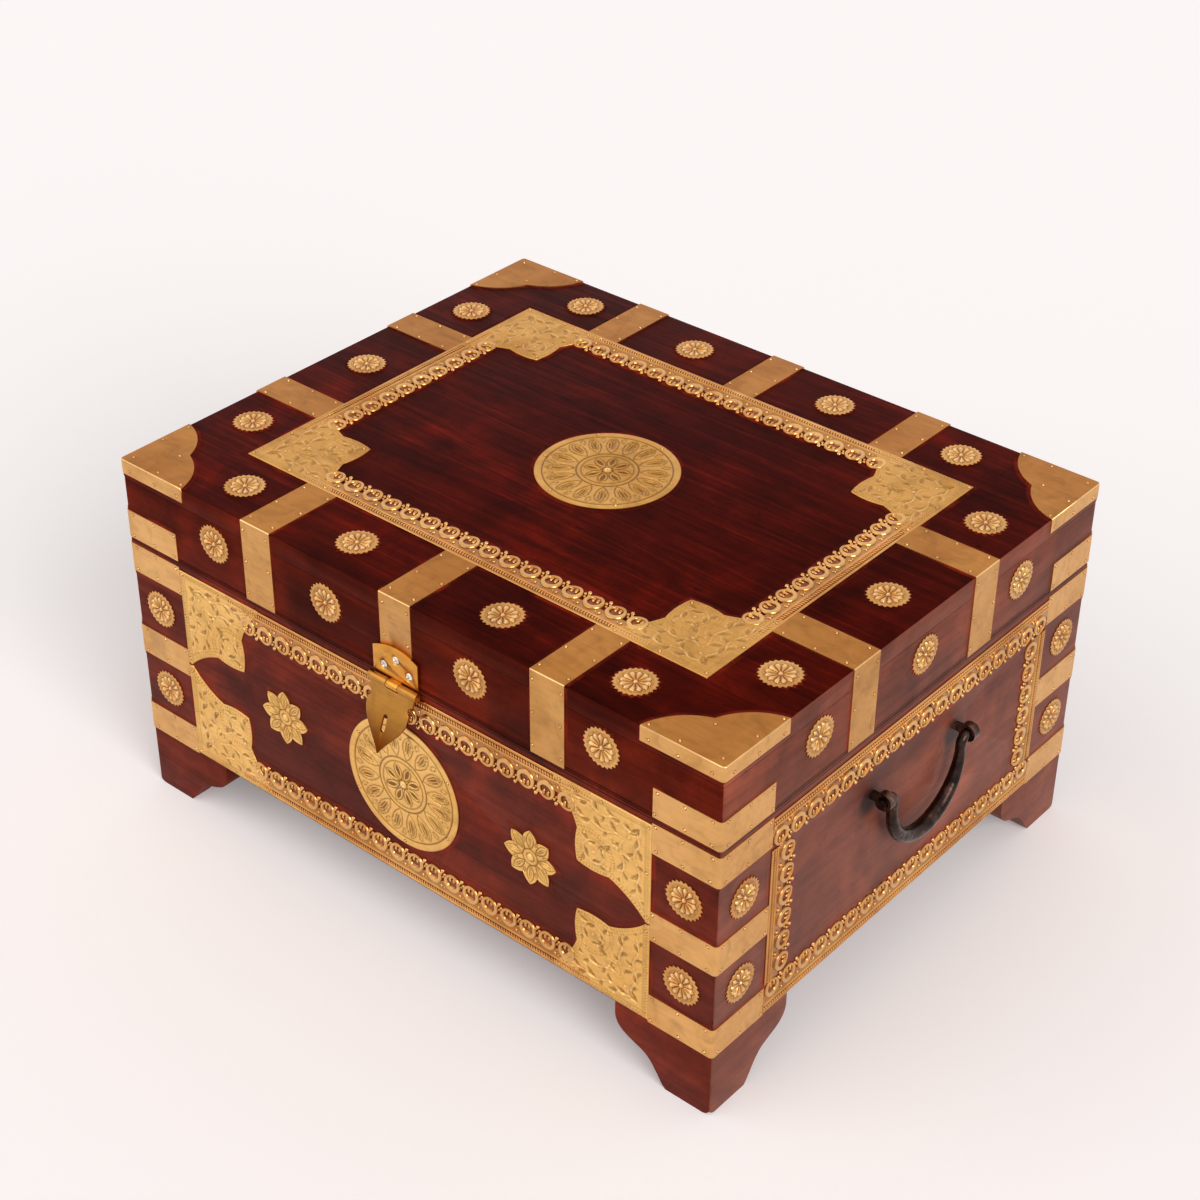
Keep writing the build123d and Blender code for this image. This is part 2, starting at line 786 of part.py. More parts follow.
# The flap hangs from the hasp pin, tilted out clear of the staple
flap_plane = Plane(
    origin=(0, hasp_axis_y, hasp_axis_z), x_dir=(1, 0, 0), z_dir=(0, -cos(tilt), sin(tilt))
)
flap_half = hasp_width / 2 - knuckle_gap
with BuildPart() as hasp_flap:
    with BuildSketch(flap_plane):
        with BuildLine() as flap_edge:
            Line((0, 0), (flap_half, 0))
            Line((flap_half, 0), (flap_half, -flap_shoulder))
            ThreePointArc(
                (flap_half, -flap_shoulder), (flap_notch, -flap_notch_place), (flap_lobe, -flap_lobe_start)
            )
            Spline(
                (flap_lobe, -flap_lobe_start),
                (flap_lobe, -flap_lobe_place),
                (flap_waist, -flap_waist_place),
                (0, -flap_length),
            )
            mirror(about=Plane.YZ)
        make_face()
        with Locations((0, -flap_slot_place)):
            SlotOverall(flap_slot_length, flap_slot_width, rotation=90, mode=Mode.SUBTRACT)
        Rectangle(hasp_centre_knuckle + 2 * knuckle_gap, 2 * hasp_keep_off, mode=Mode.SUBTRACT)
    extrude(amount=hasp_sheet / 2, both=True)
    flap_bore = hasp_pin_radius + pin_clearance
    with BuildSketch(hasp_axis):
        Circle(flap_bore)
    extrude(amount=hasp_barrel_length / 2, both=True, mode=Mode.SUBTRACT)
    for low, high in (
        (-hasp_barrel_length / 2, -half_knuckle - knuckle_gap),
        (half_knuckle + knuckle_gap, hasp_barrel_length / 2),
    ):
        add(barrel_segment(hasp_axis, hasp_barrel_radius, flap_bore, low, high))
finish(hasp_flap.part, "hasp_flap")

with BuildPart() as hasp_staple:
    with BuildLine(Plane.YZ) as staple_path:
        nose = box_middle - half_depth - staple_reach + staple_wire / 2
        shoulder = nose + staple_rise
        root = box_middle - half_depth + staple_bite
        Line((root, staple_z - staple_rise), (shoulder, staple_z - staple_rise))
        ThreePointArc(
            (shoulder, staple_z - staple_rise), (nose, staple_z), (shoulder, staple_z + staple_rise)
        )
        Line((shoulder, staple_z + staple_rise), (root, staple_z + staple_rise))
    with BuildSketch(Plane(origin=staple_path.line @ 0, z_dir=staple_path.line % 0)):
        Circle(staple_wire / 2)
    sweep()
finish(hasp_staple.part, "hasp_staple")


# Bail handles: a forged bow hung in two split-pin eyes on each short side
def bail_handle(side):
    """A bow that thickens to its grip, with its ends turned out along the axis."""
    plane = face_plane(side, bail_axis_z, bail_stand)
    bow_top = -bail_bend - bail_straight
    outer = bail_half_span + bail_bend
    with BuildPart() as bail:
        for end in (-1, 1):
            with BuildLine(plane) as leg:
                FilletPolyline(
                    (end * (outer + bail_end_length), 0),
                    (end * bail_half_span, 0),
                    (end * bail_half_span, bow_top),
                    radius=bail_bend,
                )
            with BuildSketch(Plane(origin=leg.line @ 0, z_dir=leg.line % 0)):
                Circle(bail_end_radius)
            sweep(path=leg.line)
        with BuildLine(plane) as bow:
            ThreePointArc(
                (-bail_half_span, bow_top), (0, bow_top - bail_half_span), (bail_half_span, bow_top)
            )
        for place, radius in ((0, bail_end_radius), (0.5, bail_grip_radius), (1, bail_end_radius)):
            with BuildSketch(Plane(origin=bow.line @ place, z_dir=bow.line % place)):
                Circle(radius)
        sweep(path=bow.line, multisection=True)
    return bail.part


def handle_eyes(side):
    """Two split pins: a loop for the bail, a shank through the wall, clinched inside."""
    centre = reach[side] + bail_stand
    inside = reach[side] - wall
    with BuildPart() as eyes:
        for along in (-eye_middle, eye_middle):
            with BuildSketch(section_plane(side, along)):
                with Locations((centre, bail_axis_z)):
                    Circle(eye_bore + eye_strip)
                with Locations(((inside + centre) / 2, bail_axis_z)):
                    Rectangle(centre - inside, eye_shank)
                with Locations((inside - eye_shank / 4, bail_axis_z)):
                    Rectangle(eye_shank / 2, 2 * eye_prong)
                with Locations((centre, bail_axis_z)):
                    Circle(eye_bore, mode=Mode.SUBTRACT)
            extrude(amount=eye_width / 2, both=True)
    return eyes.part


for side in ("left", "right"):
    finish(bail_handle(side), f"{side}_bail")
    finish(handle_eyes(side), f"{side}_handle_eyes")
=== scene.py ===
import math
import random

import bmesh
import bpy
from mathutils import Matrix, Vector, kdtree


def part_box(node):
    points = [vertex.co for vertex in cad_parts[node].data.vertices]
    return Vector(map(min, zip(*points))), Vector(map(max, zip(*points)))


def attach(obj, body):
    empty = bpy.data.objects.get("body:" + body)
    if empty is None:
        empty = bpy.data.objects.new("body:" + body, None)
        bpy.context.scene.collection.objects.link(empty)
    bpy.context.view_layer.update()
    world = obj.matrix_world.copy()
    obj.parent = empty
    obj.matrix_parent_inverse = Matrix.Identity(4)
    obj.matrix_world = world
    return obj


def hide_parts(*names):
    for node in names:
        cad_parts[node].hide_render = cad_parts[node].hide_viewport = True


# Wooden keepsake box with brass trim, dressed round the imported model
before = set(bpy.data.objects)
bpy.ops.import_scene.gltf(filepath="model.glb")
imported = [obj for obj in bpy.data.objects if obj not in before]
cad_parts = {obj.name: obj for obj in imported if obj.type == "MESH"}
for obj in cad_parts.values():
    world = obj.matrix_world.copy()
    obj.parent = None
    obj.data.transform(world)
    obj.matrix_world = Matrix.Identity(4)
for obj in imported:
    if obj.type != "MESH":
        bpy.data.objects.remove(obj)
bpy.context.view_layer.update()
random.seed(11)
mm = 0.001
up = Vector((0, 0, 1))
print("frame loaded:", len(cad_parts), "nodes")


# Places read from the frame, in millimetres
def nodeBox(name):
    low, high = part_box(name)
    return Vector(low) / mm, Vector(high) / mm


topLow, topHigh = nodeBox("lid_top_board")
bodyLow, bodyHigh = nodeBox("front_board")
emboss = nodeBox("lid_medallion")[1].z - topHigh.z
halfLength = topHigh.x
halfDepth = (topHigh.y - topLow.y) / 2
middleY = (topHigh.y + topLow.y) / 2
lidTop = topHigh.z
lidBottom = nodeBox("lid_front_rail")[0].z
bodyTop = bodyHigh.z
frameLow, frameHigh = (corner.z for corner in nodeBox("front_embossed_corners"))
frameMiddle = (frameLow + frameHigh) / 2
frameX = nodeBox("lid_embossed_corners")[1].x
frameY = nodeBox("lid_embossed_corners")[1].y - middleY
panelHalf = nodeBox("front_embossed_corners")[1].x
panelRise = (frameHigh - frameLow) / 2
sideHalf = nodeBox("right_borders")[1].y - middleY
borderWidth = 17.7
outward = {"front": (0, -1), "right": (1, 0), "back": (0, 1), "left": (-1, 0)}
reach = {"front": halfDepth, "back": halfDepth, "left": halfLength, "right": halfLength}
span = {"front": halfLength, "back": halfLength, "left": halfDepth, "right": halfDepth}


def facePlace(side, height=0.0):
    # local x runs along the face, local y upwards and local z outwards
    if side == "top":
        return Matrix.Translation(Vector((0, middleY, lidTop)) * mm)
    x, y = outward[side]
    origin = Vector((x * reach[side], middleY + y * reach[side], height)) * mm
    turned = Matrix(((-y, 0, x), (x, 0, y), (0, 1, 0))).to_4x4()
    return Matrix.Translation(origin) @ turned


topFace = facePlace("top")
frontPanel = facePlace("front", frameMiddle)


# Materials
def shaderInput(material, name):
    return material.node_tree.nodes["Principled BSDF"].inputs[name]


def newMaterial(name, metallic=0.0, roughness=0.5, specular=0.5):
    material = bpy.data.materials.new(name)
    material.use_nodes = True
    shaderInput(material, "Metallic").default_value = metallic
    shaderInput(material, "Roughness").default_value = roughness
    shaderInput(material, "Specular IOR Level").default_value = specular
    return material


def addNode(owner, kind, values=None, **settings):
    # values go to the node's inputs, settings to the node itself
    node = owner.node_tree.nodes.new(kind)
    for key, value in settings.items():
        setattr(node, key, value)
    for key, value in (values or {}).items():
        node.inputs[key].default_value = value
    return node


def link(owner, source, target):
    owner.node_tree.links.new(source, target)


def setInput(material, name, source):
    link(material, source, shaderInput(material, name))


def stretched(material, scale):
    # object coordinates, stretched so that a pattern runs with the grain
    coords = addNode(material, "ShaderNodeTexCoord")
    mapping = addNode(material, "ShaderNodeMapping", {"Scale": scale})
    link(material, coords.outputs["Object"], mapping.inputs["Vector"])
    return mapping.outputs["Vector"]


def noise(material, vector, scale, detail=4.0, rough=0.55, distortion=0.0):
    values = {"Scale": scale, "Detail": detail, "Roughness": rough, "Distortion": distortion}
    node = addNode(material, "ShaderNodeTexNoise", values)
    link(material, vector, node.inputs["Vector"])
    return node.outputs["Fac"]


def patterns(material, table, grain="x"):
    # a noise for each row of a table: stretch across the grain, scale, detail, roughness, distortion
    made = {}
    for name, (stretch, *values) in table.items():
        if not isinstance(stretch, tuple):
            stretch = (1, stretch, stretch) if grain == "x" else (stretch, 1, stretch)
        made[name] = noise(material, stretched(material, stretch), *values)
    return made


def ramp(material, value, stops):
    # stops are (position, colour or grey)
    node = addNode(material, "ShaderNodeValToRGB")
    elements = node.color_ramp.elements
    while len(elements) < len(stops):
        elements.new(0.5)
    for element, (position, colour) in zip(elements, stops):
        element.position = position
        grey = isinstance(colour, (int, float))
        element.color = (colour, colour, colour, 1) if grey else (*colour, 1)
    link(material, value, node.inputs["Fac"])
    return node.outputs["Color"]


def mix(material, factor, first, second, blend="MIX"):
    node = addNode(material, "ShaderNodeMix", data_type="RGBA", blend_type=blend)
    for source, place in ((factor, 0), (first, 6), (second, 7)):
        if isinstance(source, (int, float)):
            node.inputs[place].default_value = source
        elif isinstance(source, tuple):
            node.inputs[place].default_value = (*source, 1)
        else:
            link(material, source, node.inputs[place])
    return node.outputs[2]


def times(material, first, second, share=1.0):
    return mix(material, share, first, second, "MULTIPLY")


def toneMaker(material, made):
    # reads one of the made patterns through a ramp
    return lambda pattern, *stops: ramp(material, made[pattern], stops)


def bump(material, height, strength, distance, under=None):
    node = addNode(material, "ShaderNodeBump", {"Strength": strength, "Distance": distance})
    link(material, height, node.inputs["Height"])
    if under:
        link(material, under, node.inputs["Normal"])
    return node.outputs["Normal"]


def attribute(material, name):
    return addNode(material, "ShaderNodeAttribute", attribute_name=name).outputs["Fac"]


# tones are the dark, the middle and the streaks; a low ior keeps the stain matt
woodLook = {
    "lidWood": {
        "tones": ((0.030, 0.0017, 0.0009), (0.072, 0.0040, 0.0014), (0.210, 0.0135, 0.0036)),
        "grain": "x", "ior": 1.07, "rough": 0.36, "veil": 0.55, "blush": (1.45, 1.20, 1.05),
    },
    "railWood": {
        "tones": ((0.058, 0.0046, 0.0020), (0.115, 0.0105, 0.0034), (0.185, 0.0190, 0.0062)),
        "grain": "x", "ior": 1.09, "rough": 0.42, "veil": 0.35, "blush": (1.40, 1.25, 1.05),
    },
    # the woods of the left and right faces are lighter and greyer copies: painted light and sheen from the
    # lamp on that side
    "railWoodYLit": {
        "tones": ((0.125, 0.0250, 0.0110), (0.215, 0.0470, 0.0210), (0.290, 0.0680, 0.0300)),
        "grain": "y", "ior": 1.30, "rough": 0.46, "veil": 0.30, "blush": (1.20, 1.12, 1.0),
    },
    "bodyWoodX": {
        "tones": ((0.075, 0.0075, 0.0030), (0.160, 0.0190, 0.0075), (0.250, 0.0330, 0.0130)),
        "grain": "x", "ior": 1.17, "rough": 0.44, "veil": 0.30, "blush": (1.40, 1.25, 1.05),
    },
    "bodyWoodYLit": {
        "tones": ((0.150, 0.0330, 0.0170), (0.215, 0.0530, 0.0270), (0.285, 0.0740, 0.0380)),
        "grain": "y", "ior": 1.42, "rough": 0.50, "veil": 0.25, "blush": (1.10, 1.12, 1.10),
    },
}
woodPatterns = {
    "bands": (8, 4.2, 6, 0.62, 1.4),
    "streaks": (26, 8.5, 7, 0.72, 0.9),
    "pores": (26, 62.0, 3, 0.6),
    "clouds": (1, 11.0, 5, 0.62, 0.8),
    "patches": (1, 34.0, 4, 0.6, 0.5),
    "pits": ((1, 3, 3), 150.0, 2, 0.5),
    "blotches": (1, 75.0, 4, 0.6),
    "islands": (1, 21.0, 3, 0.5),
}
stainLook = {
    "red": (0.260, 0.017, 0.006),
    "redDark": (0.100, 0.006, 0.003),
    "pit": (0.010, 0.0015, 0.001),
    "soot": (0.012, 0.0020, 0.0016),
}


def makeWood(name):
    # stained hardwood: bands, streaks and pores run along one axis, under a cloudy stain
    look = woodLook[name]
    dark, middle, streak = look["tones"]
    rough = look["rough"]
    material = newMaterial(name, roughness=rough)
    shaderInput(material, "IOR").default_value = look["ior"]
    made = patterns(material, woodPatterns, look["grain"])
    made["halo"] = attribute(material, "halo")
    made["soot"] = attribute(material, "soot")
    tone = toneMaker(material, made)
    ground = tone("bands", (0.34, dark), (0.54, middle), (0.74, streak))
    lines = tone("streaks", (0.36, dark), (0.54, middle), (0.74, streak))
    colour = mix(material, look["veil"], ground, lines)
    colour = times(material, colour, tone("clouds", (0.30, 0.60), (0.50, 0.95), (0.72, 1.30)))
    colour = times(material, colour, tone("patches", (0.30, 0.62), (0.52, 0.98), (0.70, 1.12)))
    light, spotted = tone("clouds", (0.46, 0.0), (0.66, 1.0)), tone("patches", (0.46, 0.0), (0.62, 1.0))
    worn = times(material, light, spotted)
    colour = mix(material, worn, colour, times(material, colour, look["blush"]))
    colour = times(material, colour, tone("pores", (0.30, 0.62), (0.44, 1.0)), 0.7)
    colour = mix(material, tone("pits", (0.70, 0.0), (0.76, 0.75)), colour, stainLook["pit"])
    # red stain where the aprons say so, in blotches and islands, and over it painted shadow at the seams and
    # round the handle eyes, there with some soot
    blotched = tone("blotches", (0.34, 0.10), (0.58, 0.95))
    seep = times(material, tone("halo", (0.0, 0.0), (0.80, 1.0)), blotched)
    seep = times(material, seep, tone("islands", (0.40, 0.12), (0.56, 1.0)))
    red = tone("blotches", (0.38, stainLook["redDark"]), (0.58, stainLook["red"]))
    colour = mix(material, seep, colour, red)
    blotched = tone("blotches", (0.30, 0.60), (0.60, 1.0))
    shadowAndSootMask = times(material, tone("soot", (0.05, 0.0), (0.7, 0.95)), blotched)
    setInput(material, "Base Color", mix(material, shadowAndSootMask, colour, stainLook["soot"]))
    setInput(material, "Roughness", tone("streaks", (0.3, rough + 0.1), (0.7, rough)))
    relief = bump(material, made["pores"], 0.12, 0.0002)
    setInput(material, "Normal", bump(material, made["streaks"], 0.08, 0.0004, relief))
    return material


# red is the level of the spots above which the stain in a pressed piece's hollows turns red
brassLook = {
    # sheet lying flat on the lid top gets a darker copy as painted shade, and the folds a lighter copy as a
    # painted highlight
    "lidTopShadedSheet": {"bright": (0.520, 0.225, 0.048), "dull": (0.400, 0.155, 0.030), "rough": 0.38},
    "plainSheet": {"bright": (0.790, 0.440, 0.155), "dull": (0.650, 0.335, 0.105), "rough": 0.36},
    "strapSheet": {"bright": (0.670, 0.350, 0.112), "dull": (0.540, 0.265, 0.077), "rough": 0.38},
    "foldHighlightSheet": {"bright": (0.960, 0.620, 0.270), "dull": (0.760, 0.440, 0.160), "rough": 0.26},
    # the lid's gilt is a darker copy, painted shade for the top, and the front's a lighter copy, painted
    # light on the front
    "giltLidShaded": {"bright": (0.740, 0.400, 0.105), "dull": (0.590, 0.295, 0.068), "rough": 0.34, "red": 0.58},
    "giltFrontLit": {"bright": (0.930, 0.560, 0.175), "dull": (0.800, 0.450, 0.125), "rough": 0.34, "red": 0.54},
    "castBrass": {"bright": (0.780, 0.420, 0.135), "dull": (0.600, 0.275, 0.070), "rough": 0.19, "red": 0.40},
    "hardwareBrass": {"bright": (0.750, 0.350, 0.060), "dull": (0.570, 0.245, 0.038), "rough": 0.26},
    "flapBrass": {
        "bright": (0.540, 0.255, 0.050), "dull": (0.400, 0.170, 0.030), "rough": 0.26,
        # the fade is a painted reflection of the wood, darker towards the flap's lowest end
        "fade": (0.30, 0.115, 0.020), "fadeRise": 0.75,
    },
}
brassPatterns = {
    "clouds": (1, 24.0, 5, 0.6, 0.6),
    "tarnish": (1, 70.0, 4, 0.6, 1.0),
    "rubbed": ((60, 400, 400), 1.0, 4, 0.6),
    "spots": (1, 190.0, 3, 0.6),
}
reliefLook = {
    "hollowStainShade": (0.170, 0.070, 0.012),
    "hollowRed": (0.200, 0.032, 0.008),
    "crestHighlight": (1.0, 0.760, 0.400),
}


def makeBrass(name):
    # sheet brass with cloudy tarnish and fine rubbing marks; pressed pieces get stain and painted shade in
    # their hollows and a painted highlight on their crests
    look = brassLook[name]
    rough = look["rough"]
    material = newMaterial(name, metallic=1.0, roughness=rough)
    made = patterns(material, brassPatterns)
    tone = toneMaker(material, made)
    colour = tone("clouds", (0.32, look["dull"]), (0.60, look["bright"]))
    colour = times(material, colour, tone("tarnish", (0.30, 0.62), (0.50, 1.0)), 0.55)
    colour = times(material, colour, tone("rubbed", (0.30, 0.60), (0.62, 1.10)), 0.22)
    if "red" in look:
        red = look["red"]
        tint = tone("spots", (red, reliefLook["hollowStainShade"]), (red + 0.12, reliefLook["hollowRed"]))
        # stain and painted shade in the hollows, a painted highlight on the crests
        colour = mix(material, attribute(material, "hollowStainShade"), colour, tint)
        colour = mix(material, attribute(material, "crestHighlight"), colour, reliefLook["crestHighlight"])
    if "fade" in look:
        # painted reflection of the dark wood: darker towards the end of the flap that hangs lowest
        low, high = (corner.z * mm for corner in nodeBox("hasp_flap"))
        limits = {"From Min": low, "From Max": low + look["fadeRise"] * (high - low)}
        rise = addNode(material, "ShaderNodeMapRange", limits, interpolation_type="SMOOTHSTEP")
        parts = addNode(material, "ShaderNodeSeparateXYZ")
        link(material, stretched(material, (1, 1, 1)), parts.inputs[0])
        link(material, parts.outputs["Z"], rise.inputs["Value"])
        colour = mix(material, rise.outputs[0], times(material, colour, look["fade"]), colour)
    setInput(material, "Base Color", colour)
    wear = mix(material, 0.4, made["clouds"], made["rubbed"])
    setInput(material, "Roughness", ramp(material, wear, ((0.3, rough + 0.12), (0.7, rough - 0.06))))
    setInput(material, "Normal", bump(material, wear, 0.10, 0.0003))
    return material


lidWood, railWood, railWoodYLit, bodyWoodX, bodyWoodYLit = map(makeWood, woodLook)
lidTopShadedSheet, plainSheet, strapSheet, foldHighlightSheet, giltLidShaded, giltFrontLit, castBrass, hardwareBrass, flapBrass = map(
    makeBrass, brassLook
)

# two colours in spots, the spots' scale, and metallic, roughness and specular
mottledLook = {
    # the recess colour is painted shade round the nail heads and in the screw seats
    "recessShade": ((0.060, 0.008, 0.004), (0.150, 0.022, 0.009), 300.0, 0.0, 0.5, 0.3),
    "openingStain": ((0.130, 0.022, 0.007), (0.420, 0.130, 0.045), 240.0, 0.5, 0.35, 0.5),
    "screwSteel": ((0.50, 0.42, 0.32), (0.90, 0.87, 0.80), 500.0, 1.0, 0.26, 0.5),
}


def makeMottled(name):
    low, high, scale, *finish = mottledLook[name]
    material = newMaterial(name, *finish)
    spots = noise(material, stretched(material, (1, 1, 1)), scale)
    setInput(material, "Base Color", ramp(material, spots, ((0.32, low), (0.66, high))))
    return material


recessShade, openingStain, screwSteel = map(makeMottled, mottledLook)

# black, brown and the coppery rub; the eyes' lighter rub is partly real wear and partly a painted highlight
ironLook = {
    "darkIron": ((0.014, 0.009, 0.008), (0.045, 0.024, 0.018), (0.160, 0.090, 0.065)),
    "eyeIron": ((0.030, 0.016, 0.012), (0.130, 0.070, 0.052), (0.520, 0.350, 0.280)),
}
ironPatterns = {"clouds": (1, 130.0, 5, 0.65), "hammered": (1, 210.0, 3, 0.5)}
ironRough = 0.24


def makeIron(name):
    # dark forged iron, hammered and rubbed in patches
    black, brown, rub = ironLook[name]
    material = newMaterial(name, metallic=0.9, roughness=ironRough)
    made = patterns(material, ironPatterns)
    tone = toneMaker(material, made)
    setInput(material, "Base Color", tone("clouds", (0.34, black), (0.56, brown), (0.72, rub)))
    setInput(material, "Roughness", tone("hammered", (0.3, ironRough - 0.08), (0.7, ironRough + 0.14)))
    setInput(material, "Normal", bump(material, made["hammered"], 0.40, 0.0011))
    return material


darkIron, eyeIron = map(makeIron, ironLook)
print("materials made:", len(bpy.data.materials))

# Tools for making pieces; weld is in metres, flat and crease are in degrees
toolLook = {"weld": 2e-6, "seam": 1e-6, "flat": 1, "crease": 38}


def addObject(name, data):
    item = bpy.data.objects.new(name, data)
    bpy.context.scene.collection.objects.link(item)
    return item


def asMesh(bm, name="motif"):
    mesh = bpy.data.meshes.new(name)
    bm.to_mesh(mesh)
    bm.free()
    return mesh


def addPiece(bm, name, body, materials, nodes=(), smooth=True, place=None):
    if place:
        bmesh.ops.transform(bm, matrix=place, verts=bm.verts)
    mesh = asMesh(bm, name)
    if smooth:
        mesh.polygons.foreach_set("use_smooth", [True] * len(mesh.polygons))
        mesh.set_sharp_from_angle(angle=math.radians(toolLook["crease"]))
    for material in materials:
        mesh.materials.append(material)
    piece = addObject(name, mesh)
    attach(piece, body)
    if nodes:
        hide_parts(*nodes)


def addEmbossed(bm, name, body, finish, node, place):
    addPiece(bm, name, body, [finish], [node], place=place)


def weldedNode(name):
    bm = bmesh.new()
    bm.from_mesh(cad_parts[name].data)
    bmesh.ops.remove_doubles(bm, verts=bm.verts, dist=toolLook["weld"])
    return bm


def nodeCopy(name):
    # a welded copy of a CAD node, with its flat faces joined again
    bm = weldedNode(name)
    flat = math.radians(toolLook["flat"])
    bmesh.ops.dissolve_limit(
        bm, angle_limit=flat, use_dissolve_boundaries=False, verts=bm.verts, edges=bm.edges,
    )
    return bm


def softCopy(name, width, segments=2, above=45):
    # a node's copy with the edges bevelled that are sharper than an angle
    bm = nodeCopy(name)
    sharp = [e for e in bm.edges if len(e.link_faces) == 2 and e.calc_face_angle() > math.radians(above)]
    bmesh.ops.bevel(
        bm, geom=sharp, offset=width * mm, segments=segments, profile=0.5, affect="EDGES", material=-1,
        clamp_overlap=True,
    )
    return bm


def spinRound(bm, geom, steps):
    bmesh.ops.spin(
        bm, geom=geom, cent=(0, 0, 0), axis=up, dvec=(0, 0, 0), angle=2 * math.pi,
        steps=steps, use_merge=True, use_duplicate=False,
    )
    bmesh.ops.remove_doubles(bm, verts=bm.verts, dist=toolLook["seam"])
    bmesh.ops.recalc_face_normals(bm, faces=bm.faces)


def spunShape(profile, steps):
    # a closed round shape from its outline, read as (radius, height)
    bm = bmesh.new()
    verts = [bm.verts.new((r * mm, 0, z * mm)) for r, z in profile]
    edges = [bm.edges.new(pair) for pair in zip(verts, verts[1:])]
    spinRound(bm, verts + edges, steps)
    return bm


def stamp(target, motif, place):
    start = len(target.verts)
    target.from_mesh(motif)
    target.verts.ensure_lookup_table()
    bmesh.ops.transform(target, matrix=place, verts=target.verts[start:])


def at(x, y, z=0.0, turn=0.0):
    return Matrix.Translation(Vector((x, y, z)) * mm) @ Matrix.Rotation(math.radians(turn), 4, "Z")


def vary(amount):
    return random.uniform(-amount, amount)


def smoothStep(low, high, value):
    t = min(1.0, max(0.0, (value - low) / (high - low)))
    return t * t * (3 - 2 * t)


# Stain and painted shade lie in the low places of a pressed sheet, and a painted highlight on its high places
pressLook = {"stain": 0.92, "crestFrom": 0.08, "crestTop": 1.3}


def markStainShadeAndHighlights(bm, low, high, highlightShare):
    hollowStainShade = bm.verts.layers.float.new("hollowStainShade")
    crestHighlight = bm.verts.layers.float.new("crestHighlight")
    for vert in bm.verts:
        height = vert.co.z / mm
        vert[hollowStainShade] = pressLook["stain"] * (1 - smoothStep(low, high, height))
        vert[crestHighlight] = highlightShare * smoothStep(high + pressLook["crestFrom"], pressLook["crestTop"], height)


def pressedMesh():
    bm = bmesh.new()
    bm.verts.layers.float.new("hollowStainShade")
    bm.verts.layers.float.new("crestHighlight")
    return bm


# Wood: every board keeps its solid's shape and gets softened edges
woodWork = {"softEdge": 0.5, "footEdge": 0.9, "footAngle": 50, "upright": 0.7}


def dressWood():
    feet = [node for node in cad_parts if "_foot_" in node]
    for node in ("front_board", "back_board", "bottom_board", "left_board", "right_board", *feet):
        if node in feet:
            bm = softCopy(node, woodWork["footEdge"], 3, woodWork["footAngle"])
            for vert in bm.verts:
                vert.co.z = max(0, vert.co.z)  # soles on the floor
        else:
            bm = softCopy(node, woodWork["softEdge"])
        wood = bodyWoodYLit if node.endswith("side") or node in ("left_board", "right_board") else bodyWoodX
        addPiece(bm, node + "_wood", "box", [wood], [node])
    lidWoods = {
        "lid_top_board": lidWood, "lid_front_rail": railWood, "lid_back_rail": railWood,
        "lid_left_rail": railWoodYLit, "lid_right_rail": railWoodYLit,
    }
    for node, wood in lidWoods.items():
        bm = softCopy(node, woodWork["softEdge"])
        for face in bm.faces:
            # the top board's edges take the woods of the rails under them, the lighter copy with painted
            # light on the left and right
            x, y = abs(face.normal.x), abs(face.normal.y)
            plain = node != "lid_top_board" or max(x, y) < woodWork["upright"]
            face.material_index = 0 if plain else 1 if y > x else 2
        addPiece(bm, node + "_wood", "lid", [wood, railWood, railWoodYLit], [node])


dressWood()
print("wood done")

# Ironwork, pins and screws keep their CAD shapes
for nodeName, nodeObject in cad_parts.items():
    finish = hardwareBrass
    for word, other in (("handle_eyes", eyeIron), ("bail", darkIron), ("screws", screwSteel)):
        finish = other if word in nodeName else finish
    for index in range(len(nodeObject.material_slots)):
        nodeObject.material_slots[index].material = finish
    if not nodeObject.material_slots:
        nodeObject.data.materials.append(finish)
print("plain nodes finished")

# Sheet brass: straps, strips and corner plates, with painted shade where they lie flat on top and a painted
# highlight at the fold
sheetLook = {"thickness": 0.6, "topDepth": 1.0, "facesOut": 0.1, "facesUp": 0.95}


def dressSheet():
    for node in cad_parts:
        if "straps" not in node and "strips" not in node and node != "lid_corner_plates":
            continue
        bm = nodeCopy(node)
        hanging = 3 if "straps" in node else 0
        for face in bm.faces:
            onTop = face.calc_center_median().z / mm > lidTop - sheetLook["topDepth"]
            rise = face.normal.z
            # painted shade on faces lying flat on top, a painted highlight on the sloping fold faces
            paintedLightIndex = 1 if rise > sheetLook["facesUp"] else 2
            face.material_index = paintedLightIndex if onTop and rise >= sheetLook["facesOut"] else hanging
        body = "lid" if node.startswith("lid_") else "box"
        finishes = [plainSheet, lidTopShadedSheet, foldHighlightSheet, strapSheet]
        addPiece(bm, node + "_brass", body, finishes, [node])


dressSheet()
print("sheet brass done")

# Nails: a low head with a dark ring of painted shade round it
nailLook = {"head": 0.76, "height": 0.46, "ring": 1.00, "rise": 0.03, "root": -0.1, "steps": 8, "drift": 0.8}


def makeNail():
    r, h, ring, rise, root = (nailLook[key] for key in ("head", "height", "ring", "rise", "root"))
    profile = ((0, root), (ring, root), (ring, rise), (r, 0.05), (0.75 * r, 0.8 * h), (0, h))
    bm = spunShape(profile, nailLook["steps"])
    for face in bm.faces:
        centre = face.calc_center_median() / mm
        if centre.xy.length > r and centre.z > 0:
            face.material_index = 1
    return asMesh(bm)


nail = makeNail()
nails = {"lid": bmesh.new(), "box": bmesh.new()}


def driveNails(body, place, spots, stand=sheetLook["thickness"]):
    # hand driven, so no two stand quite in line
    for x, y in spots:
        x += vary(nailLook["drift"])
        y += vary(nailLook["drift"]) / 3
        stamp(nails[body], nail, place @ at(x, y, stand, random.uniform(0, 90)))


